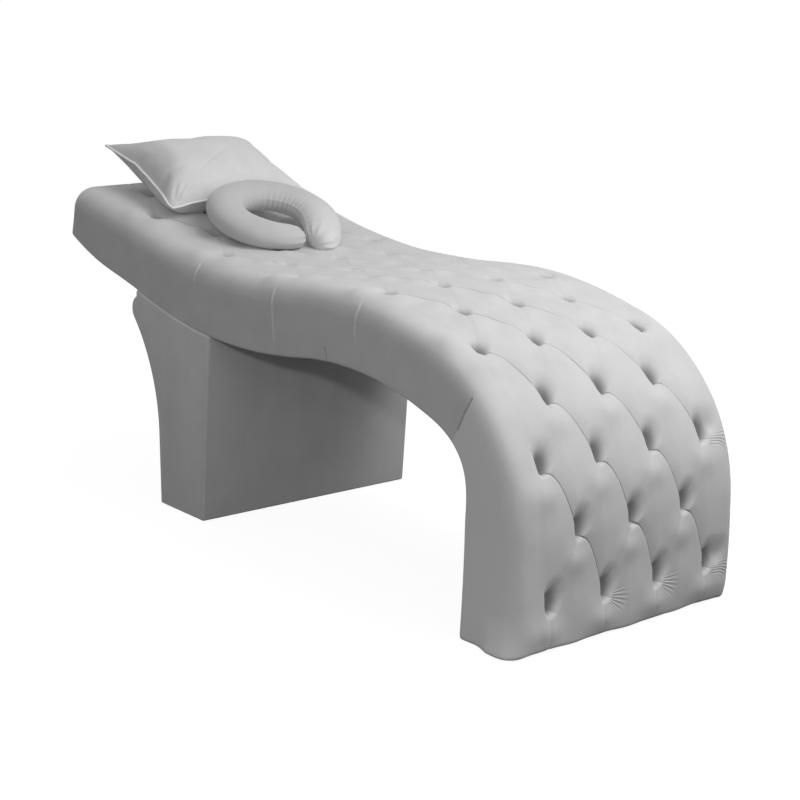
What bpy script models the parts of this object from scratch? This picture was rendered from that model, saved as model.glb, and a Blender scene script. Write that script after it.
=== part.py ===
"""Facial bed: an S-curved, button-tufted couch on a foot leg and a pedestal, with two loose pillows.

Metres, +Z up. +X runs to the foot end and +Y to the right of someone lying on the bed.
The origin is on the floor, under the middle of the bed.
"""
import math

import bmesh
import bpy
from mathutils import Vector
from mathutils.bvhtree import BVHTree

# The line along the crests of the padding, from the floor at the foot to the head end
LEG_LENGTH = 0.226
SHOULDER_RADIUS = 0.396
SHOULDER_TURN = 73.0
KNEE_RADIUS = 1.25
KNEE_TURN = 23.0
SEAT_RADIUS = 1.99
SEAT_TURN = 17.8
HEAD_LENGTH = 0.409
HEAD_TAPER = 0.22

# Thickness of the body, square to that line
LEG_THICKNESS = 0.167
SHOULDER_THICKNESS = 0.136
KNEE_THICKNESS = 0.155
SEAT_THICKNESS = 0.175
HEAD_THICKNESS = 0.158
HEAD_END_THICKNESS = 0.120

# Width, padding and covers
BED_WIDTH = 0.62
EDGE_RADIUS = 0.040
PAD_THICKNESS = 0.066
COVER = 0.003
SIDE_FOAM = 0.010
HEAD_FOAM = 0.012
GAP = 0.0003

# Deep buttoning: rows of four and three buttons in turn
COLUMNS = 3
COLUMN_MARGIN = 0.085
FIRST_ROW = 0.10
LEG_ROWS = 4
LEG_ROW_PITCH = 0.137
TOP_ROWS = 10
HEAD_ROW_MARGIN = 0.098
TUFT_DEPTH = 0.034
CREASE_DEPTH = 0.013
HEM_PLEAT_DEPTH = 0.012
EDGE_PLEAT_DEPTH = 0.006
HEM_TUCK = 0.010
BUTTON_RADIUS = 0.011
BUTTON_CROWN = 0.006

# Timber frame
RIB_BOARD = 0.018
DECK_BOARD = 0.006
TWINE_HOLE = 0.004
DRILL_PAST = 0.008
UNDER_BOARD = 0.003
END_BOARD = 0.018
RAIL_WIDTH = 0.024
RAIL_DEPTH = 0.034
MOUNT_RAIL_WIDTH = 0.060
MOUNT_RAIL_DEPTH = 0.025

# Pedestal
BASE_REACH = 1.179
BASE_DEPTH = 0.205
BASE_PROUD = 0.003
BASE_LEAN = 0.10
BASE_PLUMB = 0.183
FLARE_RADIUS = 0.42
FLARE_TURN = 42.0
NOSE_RADIUS = 0.036
NOSE_TURN = 112.0
BASE_BOARD = 0.015
POST_SIZE = 0.030
BOLT_SPREAD = 0.32
BOLT_RADIUS = 0.004
BOLT_HEAD_RADIUS = 0.010
BOLT_HEAD = 0.006
BOLT_BITE = 0.018

# Feet
GLIDE_HEIGHT = 0.004
GLIDE_RADIUS = 0.014
GLIDE_INSET = 0.045

# Pillow at the head
PILLOW_LENGTH = 0.33
PILLOW_WIDTH = 0.43
PILLOW_CROWN = 0.066
PILLOW_SEAM_HEIGHT = 0.072
PILLOW_BELLY = 0.110
PILLOW_TILT = 10.0
PILLOW_HEAD_MARGIN = 0.006
PILLOW_EAR = 0.020
PILLOW_FULLNESS = 0.45
PIPING_RADIUS = 0.003

# Neck pillow, a ring that is open towards the foot
NECK_LENGTH = 0.342
NECK_WIDTH = 0.342
NECK_TUBE = 0.050
NECK_HEIGHT = 0.072
NECK_MOUTH = 7.0
NECK_TURN = 8.0
NECK_TILT = 10.0
NECK_LAP = 0.085
NECK_OFFSET = 0.008
NECK_END = 0.045
NECK_END_RADIUS = 0.018

# How finely the round forms are cut
FLARE_STEPS = 6
NOSE_STEPS = 6
ROUND_SIDES = 12
HOLE_SIDES = 6
PILLOW_CELLS = 14
NECK_RINGS = 26
NECK_SIDES = 12

VELVET = ((0.60, 0.60, 0.60), 0.85, 0.0)
PINE = ((0.62, 0.45, 0.27), 0.65, 0.0)
PLYWOOD = ((0.55, 0.40, 0.25), 0.60, 0.0)
FOAM = ((0.78, 0.74, 0.60), 0.95, 0.0)
FIBREBOARD = ((0.33, 0.22, 0.13), 0.75, 0.0)
STEEL = ((0.55, 0.55, 0.56), 0.35, 1.0)
PLASTIC = ((0.03, 0.03, 0.03), 0.50, 0.0)


def clear_scene():
    for old in list(bpy.data.objects):
        bpy.data.objects.remove(old, do_unlink=True)


def finish(name, bm, look, smooth=False):
    """Turn a bmesh into a named object with its own material."""
    bmesh.ops.recalc_face_normals(bm, faces=bm.faces[:])
    mesh = bpy.data.meshes.new(name)
    bm.to_mesh(mesh)
    bm.free()
    colour, roughness, metallic = look
    material = bpy.data.materials.new(name)
    material.use_nodes = True
    shader = material.node_tree.nodes["Principled BSDF"]
    shader.inputs["Base Color"].default_value = (*colour, 1.0)
    shader.inputs["Roughness"].default_value = roughness
    shader.inputs["Metallic"].default_value = metallic
    mesh.materials.append(material)
    if smooth:
        mesh.shade_smooth()
        mesh.set_sharp_from_angle(angle=math.radians(35))
    piece = bpy.data.objects.new(name, mesh)
    bpy.context.scene.collection.objects.link(piece)
    return piece


def hide_cutter(cutter):
    cutter.hide_render = True
    cutter.display_type = "WIRE"
    return cutter


def combine(piece, cutter, operation="DIFFERENCE"):
    boolean = piece.modifiers.new(operation.title(), "BOOLEAN")
    boolean.object = cutter
    boolean.operation = operation
    boolean.solver = "EXACT"


# The crest line is a chain of a line, three arcs and a line, tangent to each other


def crest_pieces():
    """Each piece as its length and its turn in radians, to the left while climbing from the foot."""
    shoulder = math.radians(SHOULDER_TURN)
    knee = math.radians(KNEE_TURN)
    seat = math.radians(SEAT_TURN)
    return [
        (LEG_LENGTH, 0.0),
        (SHOULDER_RADIUS * shoulder, shoulder),
        (KNEE_RADIUS * knee, knee),
        (SEAT_RADIUS * seat, -seat),
        (HEAD_LENGTH, 0.0),
    ]


CREST_LENGTH = sum(length for length, turn in crest_pieces())
SHOULDER_END = LEG_LENGTH + SHOULDER_RADIUS * math.radians(SHOULDER_TURN)
SEAT_START = SHOULDER_END + KNEE_RADIUS * math.radians(KNEE_TURN)
SEAT_MIDDLE = SEAT_START + SEAT_RADIUS * math.radians(SEAT_TURN) / 2


def walk(start, heading, pieces, distance):
    """Place (x, z) and heading after a distance along a chain of lines and arcs."""
    x, z = start
    left = distance
    for count, (length, turn) in enumerate(pieces):
        last = count == len(pieces) - 1
        step = left if last else min(left, length)
        if turn == 0.0:
            x += step * math.cos(heading)
            z += step * math.sin(heading)
        else:
            radius = length / turn
            bent = heading + step / radius
            x += radius * (math.sin(bent) - math.sin(heading))
            z += radius * (math.cos(heading) - math.cos(bent))
            heading = bent
        left -= step
        if left <= 0.0:
            break
    return x, z, heading


def thickness(s):
    """Thickness of the body at a distance along the crest line, eased between the named ones."""
    marks = [
        (LEG_LENGTH, LEG_THICKNESS),
        ((LEG_LENGTH + SHOULDER_END) / 2, SHOULDER_THICKNESS),
        (SHOULDER_END, KNEE_THICKNESS),
        (SEAT_MIDDLE, SEAT_THICKNESS),
        (CREST_LENGTH - HEAD_TAPER, HEAD_THICKNESS),
    ]
    if s <= marks[0][0]:
        return marks[0][1]
    for (s0, t0), (s1, t1) in zip(marks, marks[1:]):
        if s <= s1:
            ease = (1.0 - math.cos(math.pi * (s - s0) / (s1 - s0))) / 2
            return t0 + (t1 - t0) * ease
    share = (s - marks[-1][0]) / HEAD_TAPER
    return HEAD_THICKNESS + (HEAD_END_THICKNESS - HEAD_THICKNESS) * share ** 2


def crest_from(x_foot, s):
    """Point and outward normal in the XZ plane."""
    x, z, heading = walk((x_foot, GLIDE_HEIGHT), math.pi / 2, crest_pieces(), s)
    return (x, z), (math.sin(heading), -math.cos(heading))


def foot_place():
    """Where the foot face stands, so that the bed's two ends are equally far from the origin."""
    (x, z), (nx, nz) = crest_from(0.0, CREST_LENGTH)
    return -(x - HEAD_END_THICKNESS * nx) / 2


FOOT_X = foot_place()


def place(s, y, height):
    """World point at a distance along the crest line, across the bed and above the crest line."""
    (x, z), (nx, nz) = crest_from(FOOT_X, s)
    return Vector((x + nx * height, y, z + nz * height))


# Rows of buttons and the stations between them, where every bent layer has its folds


def button_rows():
    leg = [FIRST_ROW + LEG_ROW_PITCH * k for k in range(LEG_ROWS)]
    pitch = (CREST_LENGTH - HEAD_ROW_MARGIN - leg[-1]) / TOP_ROWS
    return leg + [leg[-1] + pitch * (k + 1) for k in range(TOP_ROWS)]


ROWS = button_rows()
COLUMN_PITCH = (BED_WIDTH - 2 * COLUMN_MARGIN) / (2 * COLUMNS)
HALF_ROWS = [(a + b) / 2 for a, b in zip(ROWS, ROWS[1:])]
FIRST_HEM = ROWS[0] / 2
LAST_HEM = (ROWS[-1] + CREST_LENGTH) / 2

# Where the layers end along the crest line
RIB_START = END_BOARD + GAP
PAD_END = CREST_LENGTH - COVER - GAP
FRAME_END = PAD_END - HEAD_FOAM - GAP
RIB_END = FRAME_END - END_BOARD - GAP
LAYER_ENDS = [RIB_END, RIB_END + GAP, FRAME_END, FRAME_END + GAP, PAD_END]
STATIONS = sorted(ROWS + HALF_ROWS + [FIRST_HEM, LAST_HEM] + LAYER_ENDS)


def stations(start, end):
    return [start] + [s for s in STATIONS if start < s < end] + [end]


def has_button(row, column):
    return (row + column) % 2 == 1


def tufted_lattice(end):
    """Stations with the depth of each column below the crest line, and the depth at the edges."""
    columns = range(-COLUMNS, COLUMNS + 1)
    last = len(ROWS) - 1

    def pleats(row, depth):
        return [(c, depth if has_button(row, c) else 0.0, False) for c in columns]

    tucked = [(c, depth + HEM_TUCK, button) for c, depth, button in pleats(0, EDGE_PLEAT_DEPTH)]
    lattice = [(0.0, tucked, HEM_TUCK), (FIRST_HEM, pleats(0, HEM_PLEAT_DEPTH), 0.0)]
    for row, s in enumerate(ROWS):
        tufts = [(c, TUFT_DEPTH if has_button(row, c) else 0.0, has_button(row, c)) for c in columns]
        edge = EDGE_PLEAT_DEPTH if has_button(row, COLUMNS) else 0.0
        lattice.append((s, tufts, edge))
        if row < last:
            creases = [(c + 0.5, CREASE_DEPTH, False) for c in columns if c < COLUMNS]
            lattice.append((HALF_ROWS[row], creases, 0.0))
    lattice.append((LAST_HEM, pleats(last, EDGE_PLEAT_DEPTH), 0.0))
    lattice.append((end, pleats(last, EDGE_PLEAT_DEPTH), 0.0))
    return lattice


def padded_section(inset, tufts, edge):
    """One cross-section of the padding, left to right, as (y, height, has a button)."""
    corner = BED_WIDTH / 2 - EDGE_RADIUS
    radius = EDGE_RADIUS - inset
    diagonal = math.sqrt(0.5)
    right = [
        (corner, -inset - edge, False),
        (corner + radius * diagonal, radius * diagonal - EDGE_RADIUS - edge / 2, False),
        (corner + radius, -EDGE_RADIUS, False),
    ]
    top = [(c * COLUMN_PITCH, -inset - depth, button) for c, depth, button in tufts]
    left = [(-y, height, button) for y, height, button in reversed(right)]
    return left + top + right


# Closed solids between two sheets of points


def stitch(bm, first, second):
    """Triangles between two neighbouring rows of vertices with unlike counts."""
    a = b = 0
    while a < len(first) - 1 or b < len(second) - 1:
        ahead = a + 1 < len(first)
        if ahead and b + 1 < len(second):
            gap_a = (first[a + 1].co - second[b].co).length
            gap_b = (second[b + 1].co - first[a].co).length
            ahead = gap_a <= gap_b
        if ahead:
            bm.faces.new((first[a], first[a + 1], second[b]))
            a += 1
        else:
            bm.faces.new((first[a], second[b + 1], second[b]))
            b += 1


def close_between(bm, upper, lower):
    """Stitch both sheets and wall them in along their four borders."""
    for rows in (upper, lower):
        for first, second in zip(rows, rows[1:]):
            stitch(bm, first, second)
    top_rim = upper[0] + [row[-1] for row in upper[1:]] + upper[-1][-2::-1]
    top_rim += [row[0] for row in upper[-2:0:-1]]
    low_rim = lower[0] + [row[-1] for row in lower[1:]] + lower[-1][-2::-1]
    low_rim += [row[0] for row in lower[-2:0:-1]]
    count = len(top_rim)
    for i in range(count):
        j = (i + 1) % count
        bm.faces.new((top_rim[i], top_rim[j], low_rim[j], low_rim[i]))


def sheet_rows(bm, rows):
    return [[bm.verts.new(point) for point in row] for row in rows]


def bent_board(name, look, start, end, sides, top, bottom):
    """A board bent along the bed, between its two sides and two heights that may change along it."""
    bm = bmesh.new()
    along = stations(start, end)
    upper = sheet_rows(bm, [[place(s, y, top(s)) for y in sides] for s in along])
    lower = sheet_rows(bm, [[place(s, y, bottom(s)) for y in sides] for s in along])
    close_between(bm, upper, lower)
    return finish(name, bm, look)


def both_sides(half_width):
    return (-half_width, half_width)


def prism(name, look, outline, y0, y1):
    """An outline in the XZ plane, extruded across the bed."""
    bm = bmesh.new()
    face = bm.faces.new([bm.verts.new((x, y0, z)) for x, z in outline])
    grown = bmesh.ops.extrude_face_region(bm, geom=[face])
    moved = [g for g in grown["geom"] if isinstance(g, bmesh.types.BMVert)]
    bmesh.ops.translate(bm, verts=moved, vec=(0.0, y1 - y0, 0.0))
    return finish(name, bm, look)


def turned(bm, base, axis, profile, sides):
    """A turned solid from (radius, height) pairs, from the bottom face to the top face."""
    turn = Vector((0.0, 0.0, 1.0)).rotation_difference(axis).to_matrix()
    rings = []
    for radius, height in profile:
        ring = []
        for k in range(sides):
            angle = 2 * math.pi * k / sides
            local = Vector((radius * math.cos(angle), radius * math.sin(angle), height))
            ring.append(bm.verts.new(base + turn @ local))
        rings.append(ring)
    for low, high in zip(rings, rings[1:]):
        for k in range(sides):
            bm.faces.new((low[k], low[(k + 1) % sides], high[(k + 1) % sides], high[k]))
    bm.faces.new(rings[0][::-1])
    bm.faces.new(rings[-1])


# Levels of the layers below the crest line
DECK_TOP = -(PAD_THICKNESS + GAP)
DECK_UNDER = DECK_TOP - DECK_BOARD
FRAME_TOP = DECK_UNDER - GAP


def under_level(inset):
    return lambda s: inset - thickness(s)


def flat_level(height):
    return lambda s: height


UNDER_PANEL_LOW = COVER + GAP
UNDER_PANEL_TOP = UNDER_PANEL_LOW + UNDER_BOARD
FRAME_LOW = UNDER_PANEL_TOP + GAP

# Distances from the middle of the bed
COVER_INSIDE = BED_WIDTH / 2 - COVER - GAP
FRAME_SIDE = COVER_INSIDE - SIDE_FOAM - GAP
RIB_INSIDE = FRAME_SIDE - RIB_BOARD


def make_tufted_cover():
    """Velvet cover in one piece: over the top, round both edges and down the sides."""
    bm = bmesh.new()
    sheets = []
    buttons = []
    for inset in (0.0, COVER):
        rows = []
        for s, tufts, edge in tufted_lattice(CREST_LENGTH):
            section = padded_section(inset, tufts, edge)
            side = BED_WIDTH / 2 - inset
            hem = -thickness(s)
            verts = [bm.verts.new(place(s, -side, hem))]
            for y, height, button in section:
                vert = bm.verts.new(place(s, y, height))
                verts.append(vert)
                if button and inset == 0.0:
                    buttons.append(vert)
            verts.append(bm.verts.new(place(s, side, hem)))
            rows.append(verts)
        sheets.append(rows)
    close_between(bm, *sheets)
    bmesh.ops.recalc_face_normals(bm, faces=bm.faces[:])
    rounds = bmesh.ops.bevel(
        bm, geom=buttons, offset=BUTTON_RADIUS, offset_type="OFFSET", segments=1,
        profile=0.5, affect="VERTICES", material=-1,
    )
    bmesh.ops.poke(bm, faces=rounds["faces"], offset=BUTTON_CROWN)
    return finish("tufted_cover", bm, VELVET)


def make_top_foam():
    bm = bmesh.new()
    upper = []
    lower = []
    for s, tufts, edge in tufted_lattice(PAD_END):
        section = padded_section(COVER + GAP, tufts, edge)
        upper.append([bm.verts.new(place(s, y, height)) for y, height, button in section])
        lower.append([bm.verts.new(place(s, y, -PAD_THICKNESS)) for y, height, button in section])
    close_between(bm, upper, lower)
    return finish("top_foam", bm, FOAM)


def make_frame():
    """Ribs, deck, rails, end boards and the panel underneath."""
    frame_low = under_level(FRAME_LOW)
    for name, side in (("rib_left", -1), ("rib_right", 1)):
        bent_board(
            name, PLYWOOD, RIB_START, RIB_END, (side * RIB_INSIDE, side * FRAME_SIDE),
            flat_level(FRAME_TOP), frame_low,
        )
    across = both_sides(FRAME_SIDE)
    deck = bent_board(
        "top_deck", PLYWOOD, 0.0, FRAME_END, across, flat_level(DECK_TOP), flat_level(DECK_UNDER),
    )
    combine(deck, twine_holes())
    bent_board(
        "underside_panel", FIBREBOARD, 0.0, FRAME_END, across,
        under_level(UNDER_PANEL_TOP), under_level(UNDER_PANEL_LOW),
    )
    for name, start, end in (("foot_board", 0.0, END_BOARD), ("head_board", RIB_END + GAP, FRAME_END)):
        bent_board(name, PLYWOOD, start, end, across, flat_level(FRAME_TOP), frame_low)
    rail_half = RIB_INSIDE - GAP
    for count, (s0, s1) in enumerate(zip(ROWS, HALF_ROWS), start=1):
        facet = facet_frame(s0, s1, flat_level(FRAME_TOP))
        outline = facet_outline(facet, RAIL_WIDTH, -RAIL_DEPTH)
        prism("cross_rail_%02d" % count, PINE, outline, -rail_half, rail_half)


def facet_frame(s0, s1, height):
    """Middle of a flat stretch between two stations, with its direction and its normal."""
    a = place(s0, 0.0, height(s0))
    b = place(s1, 0.0, height(s1))
    along = (b - a).normalized()
    return (a + b) / 2, along, Vector((along.z, 0.0, -along.x))


def facet_outline(facet, width, rise):
    """Outline of a straight board on such a stretch; it hangs below where the rise is negative."""
    middle, along, normal = facet
    outline = []
    for t, n in ((-0.5, 0.0), (0.5, 0.0), (0.5, 1.0), (-0.5, 1.0)):
        corner = middle + along * (t * width) + normal * (n * rise)
        outline.append((corner.x, corner.z))
    return outline


def twine_holes():
    """Drills for the twine that ties each button to the deck."""
    bm = bmesh.new()
    drill = [(TWINE_HOLE, 0.0), (TWINE_HOLE, DECK_BOARD + 2 * DRILL_PAST)]
    for row, s in enumerate(ROWS):
        axis = place(s, 0.0, 1.0) - place(s, 0.0, 0.0)
        for column in range(-COLUMNS, COLUMNS + 1):
            if has_button(row, column):
                base = place(s, column * COLUMN_PITCH, DECK_UNDER - DRILL_PAST)
                turned(bm, base, axis, drill, HOLE_SIDES)
    return hide_cutter(finish("twine_drills", bm, STEEL))


def make_padding():
    make_top_foam()
    for name, side in (("side_foam_left", -1), ("side_foam_right", 1)):
        bent_board(
            name, FOAM, 0.0, PAD_END, (side * (FRAME_SIDE + GAP), side * COVER_INSIDE),
            flat_level(DECK_TOP), under_level(UNDER_PANEL_LOW),
        )
    bent_board(
        "head_foam", FOAM, FRAME_END + GAP, PAD_END, both_sides(FRAME_SIDE),
        flat_level(DECK_TOP), under_level(UNDER_PANEL_LOW),
    )


def make_covers():
    make_tufted_cover()
    bent_board(
        "underside_cover", VELVET, 0.0, PAD_END, both_sides(COVER_INSIDE),
        under_level(COVER), under_level(0.0),
    )
    make_head_cover()


def make_head_cover():
    """End panel at the head, set in the end of the tufted cover."""
    bm = bmesh.new()
    tufts, edge = tufted_lattice(CREST_LENGTH)[-1][1:]
    section = padded_section(COVER + GAP, tufts, edge)
    low = -thickness(CREST_LENGTH)
    faces = []
    for s in (PAD_END + GAP, CREST_LENGTH):
        ring = [bm.verts.new(place(s, y, height)) for y, height, button in section]
        ring.append(bm.verts.new(place(s, COVER_INSIDE, low)))
        ring.append(bm.verts.new(place(s, -COVER_INSIDE, low)))
        faces.append(ring)
    inner, outer = faces
    count = len(inner)
    for i in range(count):
        j = (i + 1) % count
        bm.faces.new((inner[i], inner[j], outer[j], outer[i]))
    bm.faces.new(inner)
    bm.faces.new(outer)
    return finish("head_cover", bm, VELVET)


# Pedestal: an upright foot-side face, and a head-side face that flares out under the body


def base_back(inset):
    """Head-side line of the pedestal from the floor up, moved inwards."""
    x = FOOT_X - BASE_REACH - BASE_DEPTH
    turn = math.radians(FLARE_TURN)
    z = GLIDE_HEIGHT + BASE_PLUMB
    points = [(x + inset, GLIDE_HEIGHT)]
    for k in range(FLARE_STEPS + 1):
        angle = turn * k / FLARE_STEPS
        radius = FLARE_RADIUS + inset
        points.append((x - FLARE_RADIUS + radius * math.cos(angle), z + radius * math.sin(angle)))
    end_x = x - FLARE_RADIUS + FLARE_RADIUS * math.cos(turn)
    end_z = z + FLARE_RADIUS * math.sin(turn)
    nose_x = end_x + NOSE_RADIUS * math.cos(turn)
    nose_z = end_z + NOSE_RADIUS * math.sin(turn)
    for k in range(1, NOSE_STEPS + 1):
        angle = turn + math.pi - math.radians(NOSE_TURN) * k / NOSE_STEPS
        radius = NOSE_RADIUS - inset
        points.append((nose_x + radius * math.cos(angle), nose_z + radius * math.sin(angle)))
    return points


def base_front(inset):
    """Foot-side line from the floor to well inside the body."""
    x = FOOT_X - BASE_REACH - inset
    top = base_top()
    return [(x, GLIDE_HEIGHT), (x + BASE_LEAN * (top - GLIDE_HEIGHT), top)]


def base_top():
    """A height inside the body, above everything that the pedestal meets."""
    return place(SEAT_MIDDLE, 0.0, -SEAT_THICKNESS / 2).z + SEAT_THICKNESS / 2


def base_outline(inset):
    """Closed outline of the pedestal; the body's own underside cuts its top."""
    back = base_back(inset)
    front = base_front(inset)
    return front + [(back[-1][0], front[-1][1])] + back[::-1]


BASE_INSIDE = COVER + GAP
BASE_CAVITY = BASE_INSIDE + BASE_BOARD + GAP
BASE_HALF = BED_WIDTH / 2 + BASE_PROUD


def body_room(name, drop):
    """The room that the body takes over the pedestal, down to a distance below its underside."""
    cutter = bent_board(
        name, PINE, SEAT_START, CREST_LENGTH, both_sides(BED_WIDTH),
        flat_level(PAD_THICKNESS), under_level(-drop),
    )
    return hide_cutter(cutter)


def make_base():
    under_body = body_room("room_for_body", GAP)
    under_top_board = body_room("room_for_top_board", 2 * GAP + BASE_BOARD)

    cover = prism("base_cover", VELVET, base_outline(0.0), -BASE_HALF, BASE_HALF)
    half = BASE_HALF - COVER
    hollow_outline = [(x, z if z > GLIDE_HEIGHT else -BASE_BOARD) for x, z in base_outline(COVER)]
    combine(cover, hide_cutter(prism("base_hollow", VELVET, hollow_outline, -half, half)))
    combine(cover, under_body)

    inside = BASE_HALF - BASE_INSIDE
    top = bent_board(
        "base_top_board", PLYWOOD, SEAT_START, CREST_LENGTH, both_sides(inside),
        under_level(-GAP), under_level(-GAP - BASE_BOARD),
    )
    limit = hide_cutter(prism("base_top_limit", PINE, base_outline(BASE_INSIDE), -BED_WIDTH, BED_WIDTH))
    combine(top, limit, "INTERSECT")

    for name, side in (("base_side_left", -1), ("base_side_right", 1)):
        board = prism(
            name, PLYWOOD, base_outline(BASE_INSIDE), side * (inside - BASE_BOARD), side * inside,
        )
        combine(board, under_top_board)

    between = inside - BASE_BOARD - GAP
    front_band = base_front(BASE_INSIDE) + base_front(BASE_INSIDE + BASE_BOARD)[::-1]
    combine(prism("base_foot_side_board", PLYWOOD, front_band, -between, between), under_top_board)
    flare = FLARE_STEPS + 2
    back_band = base_back(BASE_INSIDE)[:flare] + base_back(BASE_INSIDE + BASE_BOARD)[:flare][::-1]
    combine(prism("base_head_side_board", PLYWOOD, back_band, -between, between), under_top_board)

    floor_top = GLIDE_HEIGHT + BASE_BOARD
    lean = BASE_LEAN * BASE_BOARD
    back_x = base_back(BASE_CAVITY)[0][0]
    front_x = base_front(BASE_CAVITY)[0][0]
    floor = [
        (back_x, GLIDE_HEIGHT), (front_x, GLIDE_HEIGHT), (front_x + lean, floor_top), (back_x, floor_top),
    ]
    prism("base_bottom_board", PLYWOOD, floor, -between, between)

    make_posts(floor_top + GAP, between, under_top_board)


def make_posts(low, between, under_top_board):
    """Pine posts in the corners, which the boards are glued and nailed to."""
    high = GLIDE_HEIGHT + BASE_PLUMB
    back_x = base_back(BASE_CAVITY)[0][0]
    front = [p for inset in (BASE_CAVITY, BASE_CAVITY + POST_SIZE) for p in base_front(inset)[:1]]
    top = base_top()
    outlines = {
        "head": [(back_x, low), (back_x + POST_SIZE, low), (back_x + POST_SIZE, high), (back_x, high)],
        "foot": [(x + BASE_LEAN * (z - GLIDE_HEIGHT), z) for x, z in (
            (front[0][0], low), (front[0][0], top), (front[1][0], top), (front[1][0], low),
        )],
    }
    for end, outline in outlines.items():
        for name, side in (("left", -1), ("right", 1)):
            post = prism(
                "base_post_%s_%s" % (end, name), PINE, outline,
                side * (between - GAP - POST_SIZE), side * (between - GAP),
            )
            combine(post, under_top_board)


def mount_facets():
    """The two flat stretches of the underside nearest to the pedestal's two faces."""
    back = base_back(BASE_CAVITY + POST_SIZE)[-1][0]
    front = base_front(BASE_CAVITY + POST_SIZE)[0][0]
    inside = []
    for s0, s1 in zip(STATIONS, STATIONS[1:]):
        x0 = place(s0, 0.0, -thickness(s0)).x
        x1 = place(s1, 0.0, -thickness(s1)).x
        if back < (x0 + x1) / 2 < front and s0 > SEAT_START:
            inside.append((s0, s1))
    return {"foot": inside[0], "head": inside[-1]}


def make_mounting():
    """Rails inside the body, and the bolts that hold the pedestal to them."""
    drills = bmesh.new()
    stack = BASE_BOARD + 2 * GAP + COVER + GAP + UNDER_BOARD
    drilled = [bpy.data.objects[n] for n in ("base_top_board", "underside_cover", "underside_panel")]
    rail_half = RIB_INSIDE - GAP
    for end, (s0, s1) in mount_facets().items():
        facet = facet_frame(s0, s1, under_level(FRAME_LOW))
        middle, along, normal = facet
        outline = facet_outline(facet, MOUNT_RAIL_WIDTH, MOUNT_RAIL_DEPTH)
        drilled.append(prism("mount_rail_" + end, PINE, outline, -rail_half, rail_half))
        for name, side in (("left", -1), ("right", 1)):
            low = middle - normal * (stack + 2 * GAP)
            low.y = side * BOLT_SPREAD / 2
            shank = stack + 2 * GAP + BOLT_BITE
            bolt = bmesh.new()
            turned(bolt, low, normal, [
                (BOLT_HEAD_RADIUS, -BOLT_HEAD), (BOLT_HEAD_RADIUS, -GAP),
                (BOLT_RADIUS, -GAP), (BOLT_RADIUS, shank),
            ], HOLE_SIDES)
            finish("base_bolt_%s_%s" % (end, name), bolt, STEEL)
            turned(drills, low - normal * BOLT_HEAD, normal, [
                (BOLT_RADIUS + GAP, 0.0), (BOLT_RADIUS + GAP, BOLT_HEAD + shank + GAP),
            ], HOLE_SIDES)
    cutter = hide_cutter(finish("bolt_drills", drills, STEEL))
    for piece in drilled:
        combine(piece, cutter)


def make_glides():
    """Plastic glides under the pedestal's floor and under the foot board."""
    back_x = base_back(BASE_CAVITY)[0][0]
    front_x = base_front(BASE_CAVITY)[0][0]
    base_y = BASE_HALF - GLIDE_INSET
    foot_x = FOOT_X - PAD_THICKNESS - (LEG_THICKNESS - PAD_THICKNESS) / 2
    spots = {
        "base_glide_head": (back_x + GLIDE_INSET, base_y),
        "base_glide_foot": (front_x - GLIDE_INSET, base_y),
        "foot_glide": (foot_x, BED_WIDTH / 2 - GLIDE_INSET),
    }
    for name, (x, y) in spots.items():
        for side_name, side in (("left", -1), ("right", 1)):
            bm = bmesh.new()
            top = GLIDE_HEIGHT - GAP
            turned(bm, Vector((x, side * y, 0.0)), Vector((0.0, 0.0, 1.0)), [
                (GLIDE_RADIUS - GLIDE_HEIGHT / 2, 0.0), (GLIDE_RADIUS, GLIDE_HEIGHT / 2), (GLIDE_RADIUS, top),
            ], ROUND_SIDES)
            finish("%s_%s" % (name, side_name), bm, PLASTIC, smooth=True)


# Loose pillows


def tree_of(piece):
    """A piece's faces, ready for ray casts and overlap tests."""
    points = [vert.co for vert in piece.data.vertices]
    return BVHTree.FromPolygons(points, [face.vertices for face in piece.data.polygons])


def shift_up(pieces, rise):
    for piece in pieces:
        for vert in piece.data.vertices:
            vert.co.z += rise


def set_down(moved, supports):
    """Lower loose pieces straight down until the first is the usual gap above what carries it."""
    loose = moved[0]
    down = Vector((0.0, 0.0, -1.0))
    drops = []
    for support in supports:
        for upper, lower, direction in ((loose, support, down), (support, loose, -down)):
            tree = tree_of(lower)
            for vert in upper.data.vertices:
                hit = tree.ray_cast(vert.co, direction)
                if hit[0] is not None:
                    drops.append(hit[3])
    shift_up(moved, GAP - min(drops))
    while any(tree_of(loose).overlap(tree_of(support)) for support in supports):
        shift_up(moved, GAP)


def pillow_frame():
    """Middle of the pillow over the crest line, and its three directions."""
    s = CREST_LENGTH - PILLOW_HEAD_MARGIN - PILLOW_LENGTH / 2
    middle = place(s, 0.0, PILLOW_SEAM_HEIGHT)
    along, normal = tilted_axes(s, PILLOW_TILT)
    return middle, along, normal


def tilted_axes(s, tilt):
    """Direction towards the foot and upward normal of a piece tipped up towards the head."""
    (x, z), (nx, nz) = crest_from(0.0, s)
    lean = math.atan2(nx, nz) + math.radians(tilt)
    return Vector((math.cos(lean), 0.0, -math.sin(lean))), Vector((math.sin(lean), 0.0, math.cos(lean)))


def pillow_rim(u, v):
    """Plan of the pillow: the sides pull in between the pointed corners."""
    pull_x = PILLOW_EAR * (1.0 - v * v)
    pull_y = PILLOW_EAR * (1.0 - u * u)
    return u * (PILLOW_LENGTH / 2 - pull_x), v * (PILLOW_WIDTH / 2 - pull_y)


def pillow_swell(u, v):
    """How full the pillow is at a place, from none at the seam to one in the middle."""
    return max(0.0, (1.0 - u * u) * (1.0 - v * v)) ** PILLOW_FULLNESS


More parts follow.
